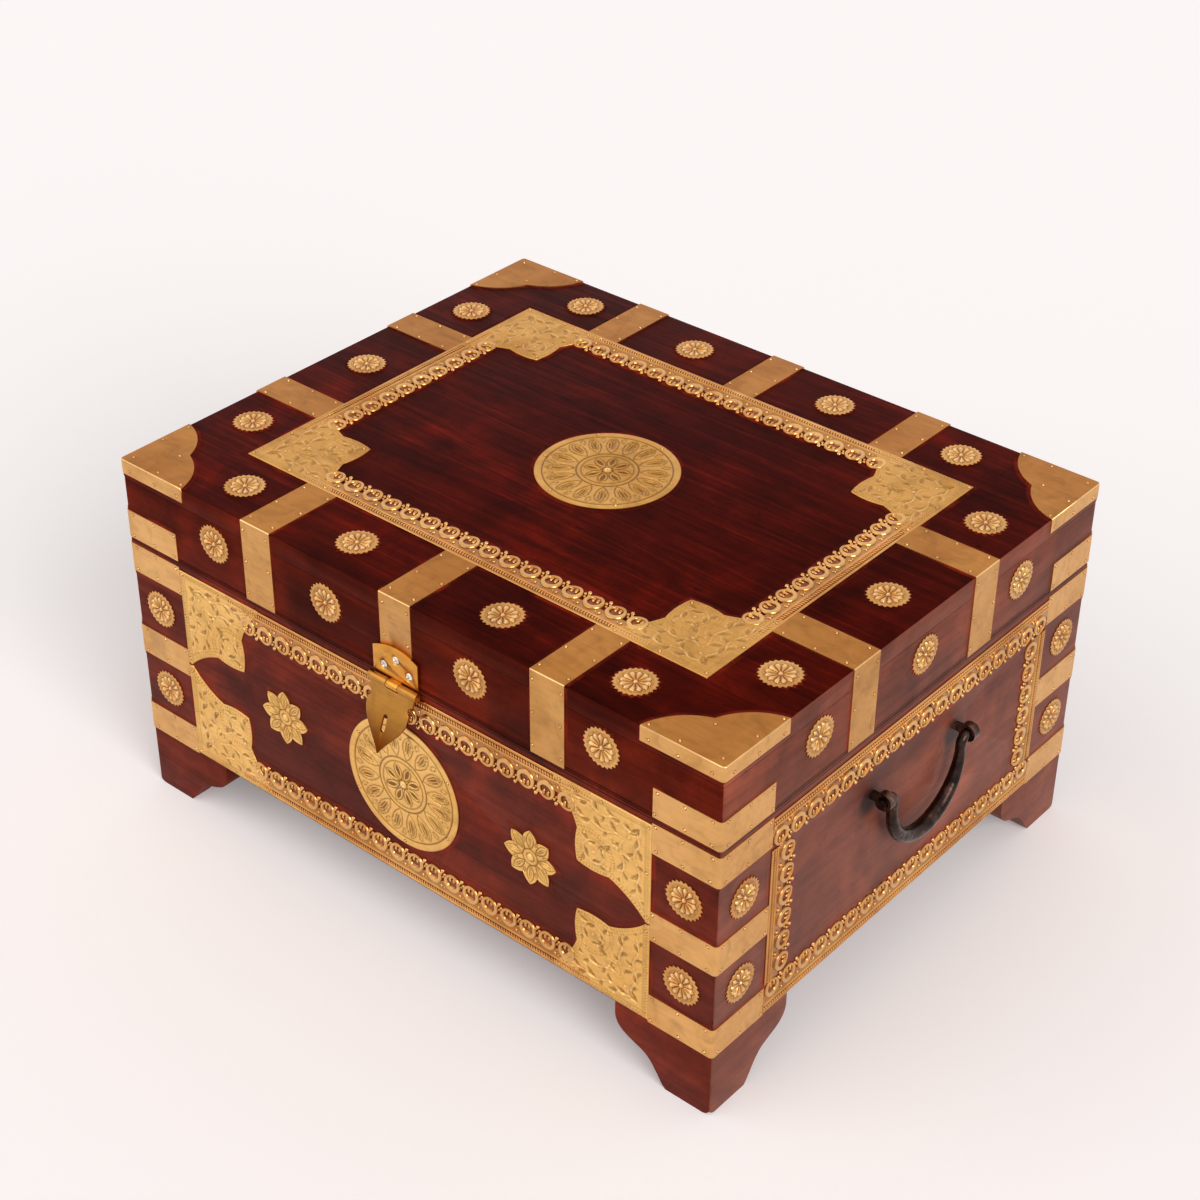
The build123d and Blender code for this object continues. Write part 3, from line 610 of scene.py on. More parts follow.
def nailRow(start, end, pitch):
    count = max(1, round(abs(end - start) / pitch))
    return [start + (end - start) * i / count for i in range(count + 1)]


strapNails = {"width": 20.0, "edge": 1.9, "pitch": 17.0, "inset": 4.5, "haspReach": 22.0}


def nailStraps():
    look = strapNails
    inset = look["inset"]
    for side, (x, y) in outward.items():
        high = nodeBox(f"lid_{side}_straps")[1]
        widest = high.x if y else high.y - middleY
        count = 3 if y else 2
        apart = 2 * (widest - look["width"] / 2) / (count - 1)
        edges = [e * (look["width"] / 2 - look["edge"]) for e in (-1, 1)]
        for centre in [(i - (count - 1) / 2) * apart for i in range(count)]:
            heights = nailRow(lidBottom + inset, lidTop - inset, look["pitch"])
            if side == "front" and centre == 0:
                heights = [z for z in heights if z > lidBottom + look["haspReach"]]
            driveNails("lid", facePlace(side), [(centre + e, z) for e in edges for z in heights])
            for depth in nailRow(inset, halfLength - frameX - inset, look["pitch"]):
                inward = reach[side] - depth
                spots = [(x * inward - y * (centre + e), y * inward + x * (centre + e)) for e in edges]
                driveNails("lid", topFace, spots)


nailStraps()
stripNails = {"reach": 37.0, "edge": 1.9, "fold": 4.0, "pitch": 15.0}
boxStrips = ("low_corner_strips", "middle_corner_strips", "top_corner_strips")


def nailStrips():
    look = stripNails
    depths = nailRow(look["fold"], look["reach"] - look["edge"], look["pitch"])
    for node in (*boxStrips, "lid_corner_strips"):
        low, high = nodeBox(node)
        heights = (low.z + look["edge"], high.z - look["edge"])
        for side in outward:
            for end in (-1, 1):
                spots = [(end * (span[side] - depth), z) for depth in depths for z in heights]
                driveNails("box" if node in boxStrips else "lid", facePlace(side), spots)


nailStrips()
# distances from the corner; side is along each lid face and drop is below the top
plateNails = {
    "near": 2.2, "corner": 4.2, "cusp": 20.5, "middle": 25.5, "far": 42.5, "drop": 5.2, "side": (6, 24, 41),
}


def nailPlates():
    near, corner, cusp, middle, far = (plateNails[key] for key in ("near", "corner", "cusp", "middle", "far"))
    spots = ((cusp, cusp), (far, near), (near, far), (middle, near), (near, middle), (corner, corner))
    for x, y in ((1, 1), (1, -1), (-1, 1), (-1, -1)):
        driveNails("lid", topFace, [(x * (halfLength - a), y * (halfDepth - b)) for a, b in spots])
    height = lidTop - plateNails["drop"]
    for side in outward:
        spots = [(end * (span[side] - d), height) for end in (-1, 1) for d in plateNails["side"]]
        driveNails("lid", facePlace(side), spots)


nailPlates()
print("nails driven:", sum(len(bm.verts) for bm in nails.values()), "vertices so far")

# Red stain that bled out from under the brass, painted shadow with some soot round the handle eyes, and
# painted shadow along the seam between lid and box, as thin aprons on the wood
apronLook = {
    "wide": 2.8, "narrow": 1.9, "hair": 1.2,  # how far the red reaches
    # the eye keys place the painted shadow of each handle, with some soot, and the seam keys the painted
    # shadow in the gap between lid and box
    "eyeReach": 8.5, "eyeDisc": 2.5, "eyeDrop": 3.0, "eyeShift": 1.5, "eyeInset": 2,
    "seam": 0.9, "seamReach": 0.8,
    "lift": 0.035, "fall": 0.02, "step": 0.006, "softEdge": 0.6, "mitre": 1.6, "underCorner": 25,
}


def growRim(bm, width, stain):
    # a band outside a flat shape, along its open edges, where the stain fades out
    fade = bm.verts.layers.float.new(stain)
    for vert in bm.verts:
        vert[fade] = 1
    sides = {}
    rim = [edge for edge in bm.edges if edge.is_boundary]
    for edge in rim:
        loop = edge.link_loops[0]
        along = loop.link_loop_next.vert.co - loop.vert.co
        side = along.cross(up).normalized()
        for vert in edge.verts:
            sides.setdefault(vert, []).append(side)
    grown = bmesh.ops.extrude_edge_only(bm, edges=rim)["geom"]
    fresh = {item for item in grown if isinstance(item, bmesh.types.BMVert)}
    for vert in fresh:
        old = next(e.other_vert(vert) for e in vert.link_edges if e.other_vert(vert) not in fresh)
        push = sum(sides[old], Vector())
        if len(sides[old]) > 1:
            push *= min(apronLook["mitre"], len(sides[old]) / max(0.2, push.length_squared))
        vert.co += push * width * mm
        vert[fade] = 0


def clipTo(bm, low, high):
    # keeps what lies inside a rectangle
    for corner, sign in ((low, -1), (high, 1)):
        for axis in (Vector((sign, 0, 0)), Vector((0, sign, 0))):
            bmesh.ops.bisect_plane(
                bm, geom=bm.verts[:] + bm.edges[:] + bm.faces[:], plane_co=Vector((*corner, 0)) * mm,
                plane_no=axis, clear_outer=True,
            )


def flatFaces(node, place):
    # the outward faces of a CAD node that lie on one face of the box
    bm = nodeCopy(node)
    bmesh.ops.transform(bm, matrix=place.inverted(), verts=bm.verts)
    hidden = [f for f in bm.faces if f.normal.z < 0.95 or not 0 < f.calc_center_median().z < 2 * mm]
    bmesh.ops.delete(bm, geom=hidden, context="FACES")
    return bm


def bandShape(width, length, x, y, turn):
    bm = bmesh.new()
    corners = [(-length / 2, 0), (length / 2, 0), (length / 2, width), (-length / 2, width)]
    bm.faces.new([bm.verts.new(Vector((*corner, 0)) * mm) for corner in corners])
    bmesh.ops.transform(bm, matrix=at(x, y, 0, turn), verts=bm.verts)
    bm.normal_update()
    return bm


def discShape(x, y, radius):
    bm = bmesh.new()
    bmesh.ops.create_circle(bm, cap_ends=True, segments=24, radius=radius * mm, matrix=at(x, y))
    bm.normal_update()
    bmesh.ops.reverse_faces(bm, faces=[face for face in bm.faces if face.normal.z < 0])
    return bm


def stainApron(name, body, wood, place, shapes, low, high):
    # shapes are (flat mesh, how far its mark reaches, and its kind where that isn't the red halo)
    bm = bmesh.new()
    bm.verts.layers.float.new("halo")
    bm.verts.layers.float.new("soot")
    look = apronLook
    inset = look["softEdge"]
    for i, (shape, width, *other) in enumerate(shapes):
        growRim(shape, width, *(other or ["halo"]))
        clipTo(shape, (low[0] + inset, low[1] + inset), (high[0] - inset, high[1] - inset))
        fade = shape.verts.layers.float[0]
        for vert in shape.verts:
            # sloping outwards, so that neighbouring rims cross and never lie level with each other
            vert.co.z = (look["lift"] + look["step"] * i - look["fall"] * (1 - vert[fade])) * mm
        stamp(bm, asMesh(shape), Matrix())
    addPiece(bm, name, body, [wood], smooth=False, place=place)


def stripPair(length, half, turn=0):
    # two strips opposite each other, as (length, x, y, turn)
    x, y = (half, 0) if turn else (0, -half)
    return [(length, x, y, turn), (length, -x, -y, turn + 180)]


def frameBands(halfX, halfY, underCorner, lift=0):
    pairs = stripPair(2 * (halfX - underCorner), halfY) + stripPair(2 * (halfY - underCorner), halfX, 90)
    return [bandShape(borderWidth, length, x, y + lift, turn) for length, x, y, turn in pairs]


def flatShapes(place, width, *nodes):
    return [(flatFaces(node, place), width) for node in nodes]


def stainTop():
    look = apronLook
    shapes = [(band, look["narrow"]) for band in frameBands(frameX, frameY, look["underCorner"])]
    shapes += flatShapes(topFace, look["narrow"], *(f"lid_{side}_straps" for side in outward))
    shapes += flatShapes(topFace, look["wide"], "lid_corner_plates", "lid_embossed_corners", "lid_medallion")
    shapes += flatShapes(topFace, look["hair"], "lid_top_rosettes")
    low, high = (-halfLength, -halfDepth), (halfLength, halfDepth)
    stainApron("lidTopStain", "lid", lidWood, topFace, shapes, low, high)


def stainSide(side):
    look = apronLook
    narrow, wide, hair = look["narrow"], look["wide"], look["hair"]
    rail, wood = (railWood, bodyWoodX) if outward[side][1] else (railWoodYLit, bodyWoodYLit)
    edge = span[side]
    place = facePlace(side)

    # a band of painted shadow along the gap between lid and box
    def seam(height):
        return bandShape(look["seam"], 2 * edge, 0, height, 0), look["seamReach"], "soot"

    shapes = flatShapes(place, narrow, f"lid_{side}_straps", "lid_corner_strips", "lid_corner_plates")
    if side != "back":
        shapes += flatShapes(place, hair, "lid_side_rosettes")
    shapes.append(seam(lidBottom))
    name = f"lid{side.title()}Stain"
    stainApron(name, "lid", rail, place, shapes, (-edge, lidBottom), (edge, lidTop))
    shapes = flatShapes(place, narrow, *boxStrips)
    if side != "back":
        shapes += flatShapes(place, hair, f"{side}_body_rosettes")
    if side == "front":
        shapes += flatShapes(place, wide, "front_embossed_corners", "front_medallion", "front_stars")
        bands = frameBands(panelHalf, panelRise, look["underCorner"], frameMiddle)
        shapes += [(band, wide) for band in bands[:2]]
    if side in ("left", "right"):
        shapes += [(band, wide) for band in frameBands(sideHalf, panelRise, 0, frameMiddle)]
        # painted shadow of the handle, with some soot, in a dark disc round each eye, shifted aside and down
        low, high = nodeBox(f"{side}_handle_eyes")
        height = (low.z + high.z) / 2 - look["eyeDrop"]
        out = (high.y - low.y) / 2 - look["eyeInset"]
        discs = [discShape(x - look["eyeShift"], height, look["eyeDisc"]) for x in (-out, out)]
        shapes += [(disc, look["eyeReach"], "soot") for disc in discs]
    shapes.append(seam(bodyTop - look["seam"]))
    low, high = (-edge, bodyLow.z), (edge, bodyTop)
    stainApron(f"{side}Stain", "box", wood, place, shapes, low, high)


stainTop()
for side in ("front", "back", "left", "right"):
    stainSide(side)
print("stain done")

# Embossed borders: lip, rope, channel, and a row of eyelets with drops and buds
borderShape = {
    "ringRow": 12.6, "ropeRow": 2.75, "budRow": 14.0, "leafRow": 7.4,  # from the outer edge
    "pitch": 12.5, "ropePitch": 1.6, "ringSteps": 20, "beadSteps": 8,
    "bed": 5.1, "ring": 4.2, "ringWire": 1.25, "opening": 3.1, "drop": 1.2,
    "wireFlat": 0.79, "wireLift": 0.31, "thin": 0.26, "ringDrift": 0.15, "ringTurn": 9, "budTurn": 6,
    "covered": 43.0, "tucked": 35.0,  # the corner pieces' arms, and where the strips end under them
    "buds": ((0, 3.0, 1.2, 1.2), (-1.15, 1.2, 0.95, 1.0), (1.15, 1.2, 0.95, 1.0), (0, -0.6, 0.8, 0.8)),
    "profile": (
        (0.05, 0.0), (0.05, 0.55), (0.25, 0.80), (1.3, 0.80), (1.55, 0.45), (4.0, 0.45),
        (4.25, 0.90), (4.7, 1.05), (5.2, 0.85), (5.8, 0.60), (10.2, 0.56), (10.6, 0.0),
    ),
}


def bead(radius, height):
    shoulder, cap = (0.92 * radius, 0.45 * height), (0.58 * radius, 0.85 * height)
    return asMesh(spunShape(((0, 0), (radius, 0), shoulder, cap, (0, height)), borderShape["beadSteps"]))


def ringWire():
    # thick on the outer side and thin on the inner side
    shape = borderShape
    bm = bmesh.new()
    circle = bmesh.ops.create_circle(bm, segments=8, radius=shape["ringWire"] * mm)["verts"]
    bmesh.ops.rotate(bm, verts=circle, cent=(0, 0, 0), matrix=Matrix.Rotation(math.pi / 2, 3, "X"))
    bmesh.ops.scale(bm, verts=circle, vec=(1, 1, shape["wireFlat"]))
    bmesh.ops.translate(bm, verts=circle, vec=(shape["ring"] * mm, 0, shape["wireLift"] * mm))
    spinRound(bm, bm.verts[:] + bm.edges[:], shape["ringSteps"])
    for vert in bm.verts:
        flat = vert.co.xy.normalized()
        line = flat * shape["ring"] * mm
        share = 1 - shape["thin"] * flat.y
        vert.co.xy = line + (vert.co.xy - line) * share
        vert.co.z *= min(1, 0.35 + 0.65 * share)
    return asMesh(bm)


def ringMotif():
    # an eyelet on its own round bed, with two drops on the inner side of its opening
    bed, opening = borderShape["bed"], borderShape["opening"]
    profile = ((0, 0), (bed, 0), (bed, 0.42), (opening + 0.4, 0.5), (opening, 0.14), (0, 0.14))
    bm = spunShape(profile, borderShape["ringSteps"])
    for face in bm.faces:
        centre = face.calc_center_median() / mm
        face.material_index = 1 if centre.xy.length < opening and centre.z > 0.1 else 0
    stamp(bm, ringWire(), Matrix())
    drop = bead(borderShape["drop"], 1.05)
    for side in (-1, 1):
        stamp(bm, drop, at(side * 1.25, 1.7, 0.1) @ Matrix.Diagonal((0.8, 1.5, 1, 1)))
    return asMesh(bm)


def budMotif():
    # a bud on two leaves, on the inner side between two eyelets
    bm = bmesh.new()
    for x, y, radius, height in borderShape["buds"]:
        stamp(bm, bead(radius, height), at(x, y, 0.12))
    return asMesh(bm)


def outerMotif():
    # small leaves between the rope and the eyelets
    bm = bmesh.new()
    for x, turn in ((-1.0, 28), (1.0, -28)):
        stamp(bm, bead(1.0, 0.75), at(x, 0, 0.35, turn) @ Matrix.Diagonal((0.55, 1.25, 1, 1)))
    return asMesh(bm)


def ropeMotif():
    bm = spunShape(((0, 0), (1.15, 0.0), (0.92, 0.5), (0, 0.85)), borderShape["beadSteps"])
    bmesh.ops.scale(bm, vec=(0.56, 1.0, 1.0), verts=bm.verts)
    bmesh.ops.transform(bm, verts=bm.verts, matrix=at(0, 0, 0, 20))
    return asMesh(bm)


eyelet, bud, outerLeaves, ropeBead = ringMotif(), budMotif(), outerMotif(), ropeMotif()


def borderStrip(target, length, covered, place):
    # one strip along local x, with its outer edge on the x axis and its rings inwards
    shape = borderShape
    strip = bmesh.new()
    face = strip.faces.new([strip.verts.new((-length / 2 * mm, t * mm, h * mm)) for t, h in shape["profile"]])
    walls = bmesh.ops.extrude_face_region(strip, geom=[face])
    moved = [v for v in walls["geom"] if isinstance(v, bmesh.types.BMVert)]
    bmesh.ops.translate(strip, verts=moved, vec=(length * mm, 0, 0))
    bmesh.ops.recalc_face_normals(strip, faces=strip.faces)
    stamp(target, asMesh(strip), place)
    beads = round(length / shape["ropePitch"])
    for i in range(beads):
        stamp(target, ropeBead, place @ at((i + 0.5 - beads / 2) * length / beads, shape["ropeRow"], 0.38))
    bare = length - 2 * covered
    count = round(bare / shape["pitch"])
    step = bare / count
    for i in range(count):
        x = (i + 0.5 - count / 2) * step
        y = shape["ringRow"] + vary(shape["ringDrift"])
        stamp(target, eyelet, place @ at(x, y, 0.0, vary(shape["ringTurn"])))
        if i:
            stamp(target, bud, place @ at(x - step / 2, shape["budRow"], 0.0, vary(shape["budTurn"])))
            stamp(target, outerLeaves, place @ at(x - step / 2, shape["leafRow"]))


def borderPiece(name, body, node, place, strips, covered=0):
    bm = bmesh.new()
    for length, x, y, turn in strips:
        borderStrip(bm, length, covered, at(x, y, 0, turn))
    markStainShadeAndHighlights(bm, 0.20, 0.96, 0.30)
    addPiece(bm, name, body, [castBrass, openingStain], [node], place=place)


def borderPair(name, body, node, place, halfLong, halfAcross, turn=0):
    # two strips that run from corner piece to corner piece
    tucked = borderShape["tucked"]
    strips = stripPair(2 * (halfLong - tucked), halfAcross, turn)
    borderPiece(name, body, node, place, strips, borderShape["covered"] - tucked)


borderPair("lidLongBorders", "lid", "lid_long_borders", topFace, frameX, frameY)
borderPair("lidShortBorders", "lid", "lid_short_borders", topFace, frameY, frameX, 90)
borderPair("frontBorders", "box", "front_borders", frontPanel, panelHalf, panelRise)
for side in ("left", "right"):
    strips = stripPair(2 * sideHalf, panelRise) + stripPair(2 * (panelRise - borderWidth), sideHalf, 90)
    borderPiece(side + "Borders", "box", side + "_borders", facePlace(side, frameMiddle), strips)
print("borders done")


# Round pieces: a disc is spun from its profile, then pressed into petals
def dip(distance, width):
    return math.exp(-(distance / width) ** 2)


def dome(r, radius):
    return max(0.0, 1 - (r / radius) ** 2) ** 0.5


def pressed(height, floor, grain):
    # the height of a pressed sheet, a little uneven and within the solid
    return max(floor, min(emboss, height + vary(grain)))


def pressedDisc(radius, rings, steps, heightAt, edgeAt=None, rim=0.5):
    # heightAt gives the height for a radius and an angle, edgeAt the outline's share of the radius
    profile = [(0, 0), (radius, 0), (radius, rim)]
    profile += [(radius * (1 - i / rings), rim) for i in range(1, rings + 1)]
    bm = spunShape(profile, steps)
    for vert in bm.verts:
        x, y, z = vert.co / mm
        r, angle = math.hypot(x, y), math.atan2(y, x)
        if edgeAt and r > 0:
            pull = 1 - (1 - edgeAt(angle)) * (r / radius) ** 3
            vert.co.x *= pull
            vert.co.y *= pull
        if z > rim / 2:
            vert.co.z = heightAt(r, angle) * mm
    return bm


def petalTurn(angle, count, offset=0.0):
    # the angle from the middle of the nearest petal
    return ((angle / (2 * math.pi) * count + offset) % 1 - 0.5) * 2 * math.pi / count


def petalGap(r, angle, count, inner, outer, width, offset=0.0):
    # millimetres inside the outline of the nearest petal, negative outside it
    t = (r - inner) / (outer - inner)
    across = abs(r * math.sin(petalTurn(angle, count, offset)))
    if t <= 0 or t >= 1:
        return -math.hypot(across, (inner - r) if t <= 0 else (r - outer))
    half = width * (4 * t * (1 - t)) ** 0.75 * (0.75 + 0.5 * t)
    return half - across


rosetteLook = {"radius": 10.65, "teeth": 24, "tooth": 0.11, "petals": 12, "capRow": 5.9, "capRadius": 1.62}


def rosetteHeight(r, angle):
    # wedge petals with round ends, parted by fine lines, inside a flat rim
    look = rosetteLook
    across = abs(r * math.sin(petalTurn(angle, look["petals"])))
    gap = r * math.sin(math.pi / look["petals"]) - across - 0.10
    if r > look["capRow"]:
        gap = min(gap, look["capRadius"] - math.hypot(across, r - look["capRow"]))
    height = 0.74 - 0.22 * dip(r - 8.3, 0.40) + 0.06 * dip(r - 9.1, 0.4)
    if r < 8.0:
        swell = 0.12 + 0.44 * smoothStep(2.6, 6.4, r)
        height += swell * smoothStep(0.0, 1.2, gap) - 0.42 * dip(gap, 0.30) * smoothStep(1.2, 2.4, r)
    height += 0.50 * dome(r, 0.95) - 0.34 * dip(r - 1.4, 0.34)
    return pressed(height - 0.30 * smoothStep(9.9, 10.65, r), 0.12, 0.02)


def rosetteEdge(angle):
    turn = (angle / (2 * math.pi) * rosetteLook["teeth"]) % 1
    return 1 - rosetteLook["tooth"] * (1 - abs(2 * turn - 1)) ** 1.1


def pressedMotif(disc, low, high, highlightShare):
    markStainShadeAndHighlights(disc, low, high, highlightShare)
    return asMesh(disc)


rosetteDisc = pressedDisc(rosetteLook["radius"], 22, 96, rosetteHeight, rosetteEdge, 0.55)
rosette = pressedMotif(rosetteDisc, 0.26, 0.76, 0.60)


def spotsOf(node, side, height=0.0, deepest=-0.5):
    # centres of a node's separate solids, in a face's own x and y
    bm = weldedNode(node)
    left = set(bm.verts)
    spots = []
    back = facePlace(side, height).inverted()
    while left:
        queue = [left.pop()]
        island = []
        while queue:
            vert = queue.pop()
            island.append(vert)
            for edge in vert.link_edges:
                other = edge.other_vert(vert)
                if other in left:
                    left.remove(other)
                    queue.append(other)
        low = Vector([min(v.co[i] for v in island) for i in range(3)])
        high = Vector([max(v.co[i] for v in island) for i in range(3)])
        centre = back @ ((low + high) / 2)
        if deepest < centre.z / mm < 2:
            spots.append((centre.x / mm, centre.y / mm))
    bm.free()
    return sorted(spots)


def rosettePiece(name, body, node, side):
    bm = pressedMesh()
    for x, y in spotsOf(node, side):
        stamp(bm, rosette, at(x, y, 0, random.uniform(0, 360)))
    addEmbossed(bm, name, body, castBrass, node, facePlace(side))


rosettePiece("lidTopRosettes", "lid", "lid_top_rosettes", "top")
for side in ("front", "left", "right"):
    rosettePiece(f"lid_{side}_roses", "lid", "lid_side_rosettes", side)
    rosettePiece(f"{side}_body_roses", "box", f"{side}_body_rosettes", side)

medallionLook = {"radius": 36.5, "petals": 16, "flower": 8, "ground": 0.86, "nails": 6, "nailRow": 34.4}


def medallionHeight(r, angle):
    petals, height = medallionLook["petals"], medallionLook["ground"]
    height -= 0.50 * dip(r - 32.6, 0.55) + 0.52 * dip(r - 15.6, 0.55) + 0.44 * dip(r - 13.2, 0.50)
    sway = angle + 0.012 * math.sin(5 * angle) + 0.05 * math.sin(3 * angle) * (r - 16) / 20
    gap = petalGap(r, sway, petals, 16.9, 30.9, 3.0)
    if 15.9 < r < 31.8:
        height += 0.14 * dip(gap + 1.0, 0.5) - 0.46 * dip(gap + 0.25, 0.50)
        height -= 0.60 * smoothStep(0.85, 1.45, gap) * smoothStep(18.0, 20.0, r)
        height += 0.50 * dip(petalGap(r, sway, petals, 19.0, 29.0, 0.9), 0.42)
        height -= 0.40 * dip(petalGap(r, sway, petals, 26.8, 31.4, 1.0, 0.5), 0.5)
    if r < 12.6:
        flower = petalGap(r, angle, medallionLook["flower"], 3.0, 12.0, 2.2)
        height -= 0.46 * dip(flower + 0.15, 0.48) + 0.50 * smoothStep(0.75, 1.3, flower)
    height += 0.45 * dome(r, 1.9) - 0.44 * dip(r - 2.5, 0.45)
    return pressed(height - 0.30 * smoothStep(35.6, 36.5, r), 0.15, 0.03)


def medallion(name, body, gilt, node, place):
    bm = pressedDisc(medallionLook["radius"], 76, 240, medallionHeight)
    markStainShadeAndHighlights(bm, 0.30, 0.78, 0.5)
    addEmbossed(bm, name, body, gilt, node, place)


def nailMedallion(body, place, start):
    row, count = medallionLook["nailRow"], medallionLook["nails"]
    angles = [start + 2 * math.pi * i / count for i in range(count)]
    driveNails(body, place, [(row * math.cos(a), row * math.sin(a)) for a in angles], medallionLook["ground"])


medallion("lidMedallion", "lid", giltLidShaded, "lid_medallion", topFace)
medallion("frontMedallion", "box", giltFrontLit, "front_medallion", frontPanel)
nailMedallion("lid", topFace, 0.3)
nailMedallion("box", frontPanel, 0.5)

starLook = {"radius": 16.0, "points": 8, "waist": 0.70}


def starEdge(angle):
    turn = (angle / (2 * math.pi) * starLook["points"] + 0.5) % 1
    return starLook["waist"] + (1 - starLook["waist"]) * (1 - abs(2 * turn - 1)) ** 0.8


def starHeight(r, angle):
    points = starLook["points"]
    gap = petalGap(r, angle, points, 5.0, 14.8, 2.2, 0.5)
    height = 0.84 - 0.48 * dip(gap, 0.48) * smoothStep(4.6, 5.6, r) + 0.12 * smoothStep(0.3, 1.0, gap)
    height -= 0.50 * dip(petalGap(r, angle, points, 6.5, 12.8, 0.5, 0.5), 0.45)
    height -= 0.50 * dip(r - 4.6, 0.50) + 0.44 * dip(petalGap(r, angle, points, 8.6, 13.0, 0.7), 0.45)
    return pressed(height + 0.5 * dome(r, 1.8) - 0.44 * dip(r - 2.4, 0.45), 0.15, 0.03)


star = pressedMotif(pressedDisc(starLook["radius"], 34, 128, starHeight, starEdge), 0.30, 0.76, 0.4)
stars = pressedMesh()
for x, y in spotsOf("front_stars", "front", frameMiddle):
    stamp(stars, star, at(x, y))
addEmbossed(stars, "frontStars", "box", giltFrontLit, "front_stars", frontPanel)
print("round pieces done")

# Embossed corner pieces, pressed with leaves, stems and hatched edges
cornerLook = {
    "size": 57.0, "step": 0.46, "ground": 0.84, "grain": 0.03, "floor": 0.12,
    "edgeStep": 0.25, "edgeEnd": 0.5,
    "vines": (
        {"from": 9.0, "to": 51.0, "height": 8.6, "fall": 3.0, "swing": 1.7, "waves": 2.4, "phase": 0.1},
        {"from": 17.0, "to": 41.0, "height": 16.6, "fall": 0.6, "swing": 1.5, "waves": 1.4, "phase": 0.6},
    ),
    "vineStep": 1.6, "lobe": (33.0, 33.0), "lobeRing": 6.2, "lobeSteps": 25, "lobeTurn": 0.26,
    "leafGap": 4.0, "leafStart": 2.0, "leafAngle": (0.6, 0.95), "leafLength": (2.3, 3.2), "leafWidth": 0.36,
    "loneLeaves": ((9.0, 9.0, 45, 3.6, 1.7), (28.6, 28.6, 45, 2.6, 1.2)),
    "arcs": ((35.0, 35.0, 12.2), (35.0, 35.0, 14.0)), "arcPitch": 1.7,
    "dots": (
        (21.0, 21.0), (23.4, 19.4), (19.4, 23.4), (12.6, 13.4), (44.0, 14.0), (14.4, 43.6),
        (33.0, 33.0), (38.6, 24.4), (24.6, 38.2),
    ),
    "hatchPitch": 1.75, "hatchWidth": 3.7, "tickWidth": 3.2,
    "nails": ((53.5, 1.9), (1.9, 53.5), (2.2, 2.2), (41.0, 41.0), (28, 1.9), (1.9, 28)), "nailStand": 0.8,
    "lid": (0.76, 0.46), "box": (1.0, 0.72),  # how deep they are pressed and how dark their hollows are stained and painted with shade
}


def growVines():
    # wavy stems along both arms and a ring in the lobe, with leaves to both sides
    look = cornerLook
    paths = []
    for vine in look["vines"]:
        for flip, shift in ((False, 0.0), (True, 0.35)):
            count = round((vine["to"] - vine["from"]) / look["vineStep"])
            path = []
            for i in range(count + 1):
                t = i / count
                along = vine["from"] + (vine["to"] - vine["from"]) * t
                wave = math.sin(2 * math.pi * (vine["waves"] * t + vine["phase"] + shift))
                across = vine["height"] - vine["fall"] * t * t + vine["swing"] * wave * (1 - 0.5 * t)
                path.append(Vector((across, along) if flip else (along, across)))
            paths.append(path)
    lobe, ring = Vector(look["lobe"]), look["lobeRing"]
    turns = [i * look["lobeTurn"] for i in range(look["lobeSteps"])]
    paths.append([lobe + ring * Vector((math.cos(turn), math.sin(turn))) for turn in turns])
    leaves, stems = list(look["loneLeaves"]), []
    for path in paths:
        stems += list(zip(path, path[1:]))
        walked, side = look["leafStart"], 1
        for before, after in zip(path, path[1:]):
            walked += (after - before).length
            if walked < look["leafGap"]:
                continue
            walked, side = 0.0, -side
            turn = math.atan2(after.y - before.y, after.x - before.x)
            turn += side * random.uniform(*look["leafAngle"])
            length = random.uniform(*look["leafLength"])
            centre = after + Vector((math.cos(turn), math.sin(turn))) * (length + 0.5)
            leaves.append((centre.x, centre.y, math.degrees(turn), length, length * look["leafWidth"]))
    return leaves, stems


cornerLeaves, cornerStems = growVines()


def leafRelief(x, y, leaf):
    # an almond with a crease round it and a vein along its middle
    cx, cy, angle, length, width = leaf
    dx, dy = x - cx, y - cy
    if dx * dx + dy * dy > (length + 1.6) ** 2:
        return 0.0
    turn = math.radians(angle)
    along = dx * math.cos(turn) + dy * math.sin(turn)
    across = dy * math.cos(turn) - dx * math.sin(turn) + 0.5 * (along / length) ** 2
    if abs(along) < length:
        gap = width * (1 - (along / length) ** 2) - abs(across)
    else:
        gap = -math.hypot(across, abs(along) - length)
    deep = 0.38 + 0.34 * (0.5 - 0.5 * along / length)
    lee = 0.5 + 0.5 * max(-1.0, min(1.0, across / 0.8))
    relief = 0.24 * dip(gap + 0.70, 0.45) * lee - 0.30 * dip(gap, 0.40) * (1 - 0.6 * lee)
    relief -= deep * smoothStep(-0.1, 0.6, gap)
    return relief + 0.26 * dip(across - 0.1, 0.34) * smoothStep(0.1, 0.7, gap)


def lineGap(x, y, first, second):
    ax, ay, bx, by = *first, *second
    dx, dy = bx - ax, by - ay
    t = max(0.0, min(1.0, ((x - ax) * dx + (y - ay) * dy) / (dx * dx + dy * dy)))
    return math.hypot(x - ax - t * dx, y - ay - t * dy)


